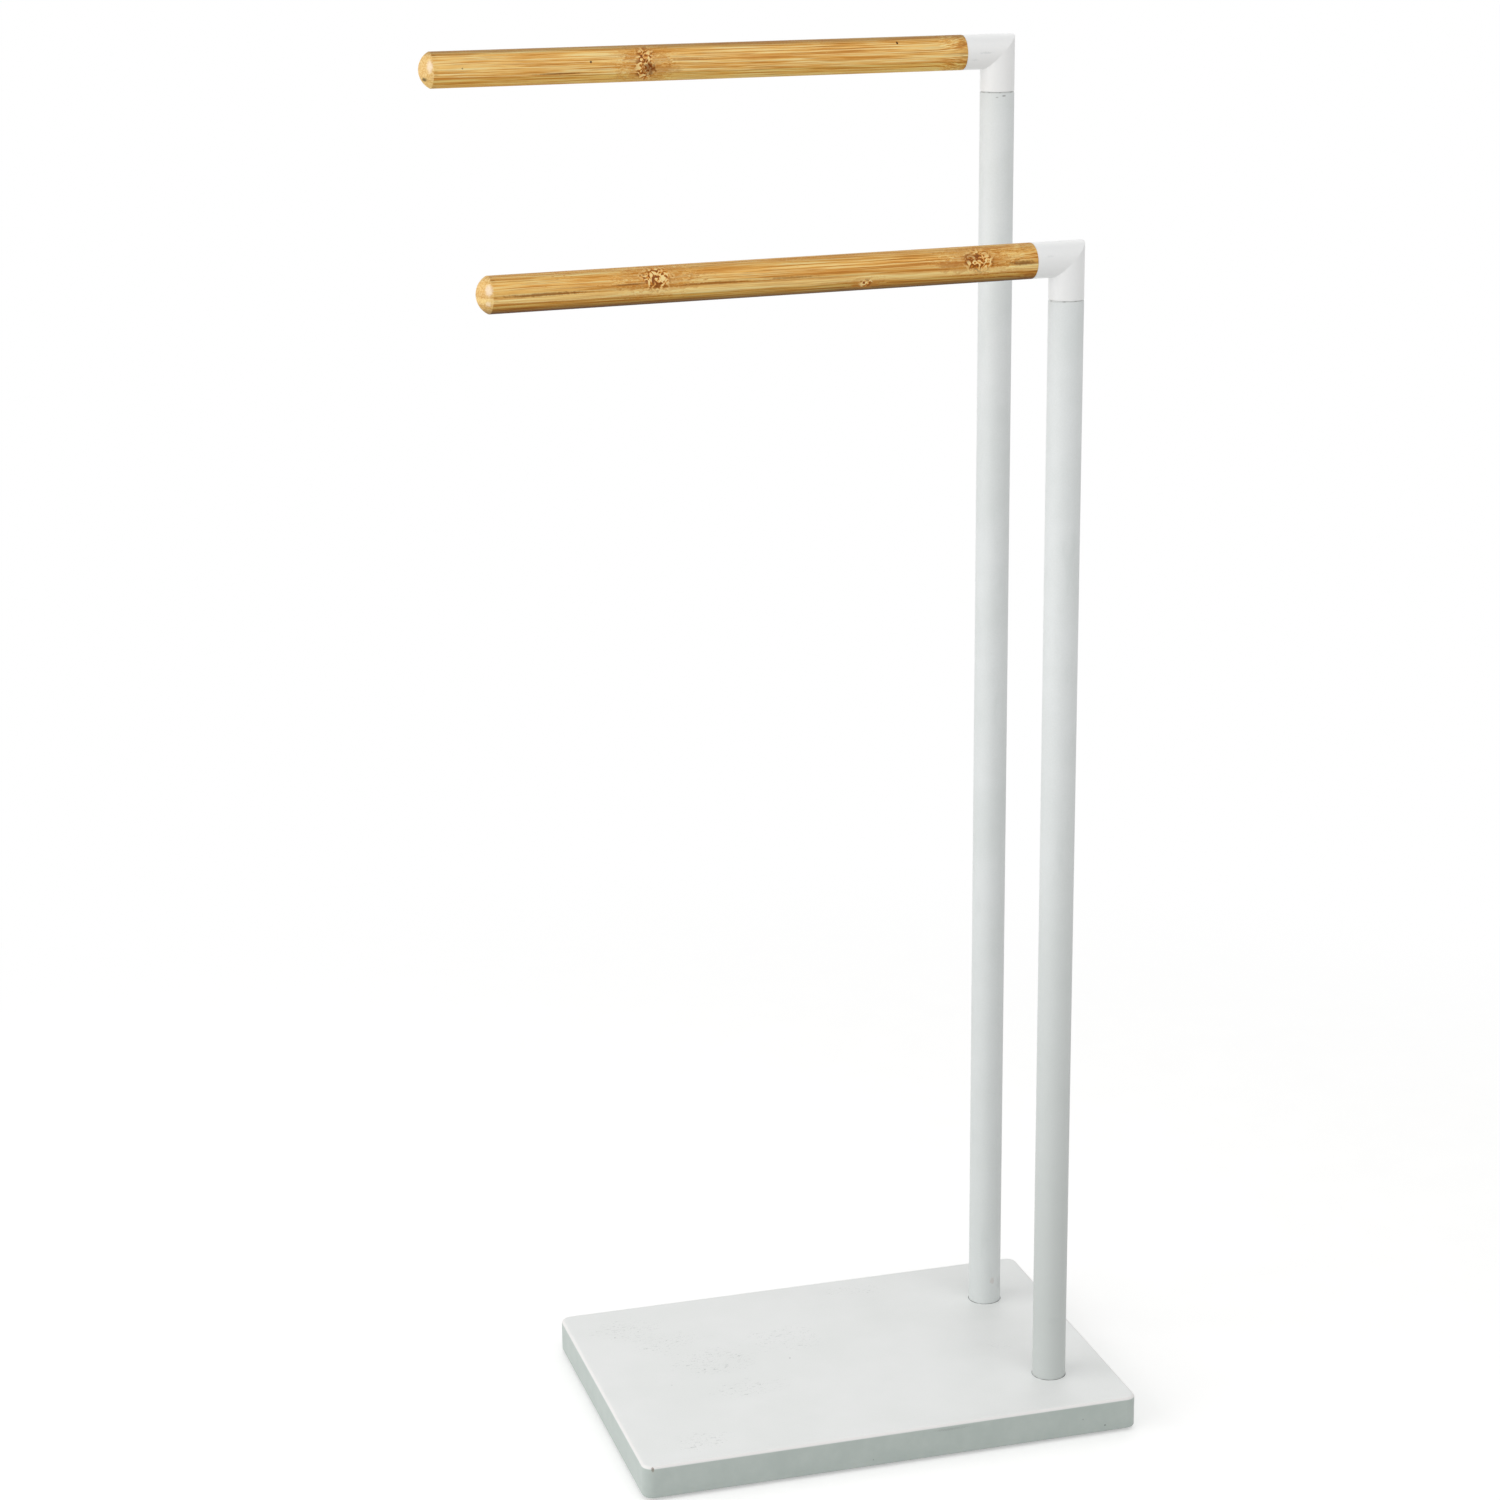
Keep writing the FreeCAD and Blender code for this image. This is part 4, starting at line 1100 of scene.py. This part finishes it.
# Where each soft box stands, its width and height, and its power in watts
SOFT_BOXES = {
    "left box": ((-1.6, -0.35, 0.85), (2.2, 1.4), 12.6),
    "front box": ((0.3, -1.3, 1.8), (1.6, 1.6), 9.0),
    "far left box": ((-2.4, 0.3, 1.3), (1.4, 1.8), 6.4),
    "back box": ((0.6, 1.3, 1.9), (1.6, 1.6), 4.8),
}
LIT_POINT = Vector((0.0, 0.0, 0.35))
CAMERA_PLACE = (-0.537338, -1.791032, 0.933740)
# The camera looks this far to the right of +Y and this far down, leaning a little, in degrees
LOOK_RIGHT, LOOK_DOWN, LEAN = 16.2115, 15.556, 0.5418
LENS, SENSOR_WIDTH = 79.984, 36.0


def make_soft_box(name, place, size, power):
    lamp = bpy.data.lights.new(name, "AREA")
    lamp.shape = "RECTANGLE"
    lamp.size, lamp.size_y = size
    lamp.energy = power
    holder = bpy.data.objects.new(name, lamp)
    holder.location = place
    holder.rotation_euler = (LIT_POINT - Vector(place)).to_track_quat("-Z", "Y").to_euler()
    bpy.context.scene.collection.objects.link(holder)


for name, (place, size, power) in SOFT_BOXES.items():
    make_soft_box(name, place, size, power)

world = bpy.data.worlds.new("pale room")
world.use_nodes = True
bpy.context.scene.world = world
room = world.node_tree
strength = put(room, "Mix", {0: where_seen(room), 2: ROOM_LIGHT, 3: ROOM_WHITE}, data_type="FLOAT")
background = room.nodes["Background"].inputs
background["Color"].default_value = WHITE
room.links.new(strength.outputs[0], background["Strength"])

camera = bpy.data.objects.new("camera", bpy.data.cameras.new("camera"))
camera.data.lens = LENS
camera.data.sensor_width = SENSOR_WIDTH
camera.data.clip_start = 0.05
camera.data.clip_end = 50.0
heading = Matrix.Rotation(math.radians(-LOOK_RIGHT), 4, "Z")
pitch = Matrix.Rotation(math.radians(90 - LOOK_DOWN), 4, "X")
roll = Matrix.Rotation(math.radians(-LEAN), 4, "Z")
camera.matrix_world = Matrix.Translation(CAMERA_PLACE) @ heading @ pitch @ roll
bpy.context.scene.collection.objects.link(camera)
bpy.context.scene.camera = camera
bpy.context.scene.view_settings.view_transform = "Standard"
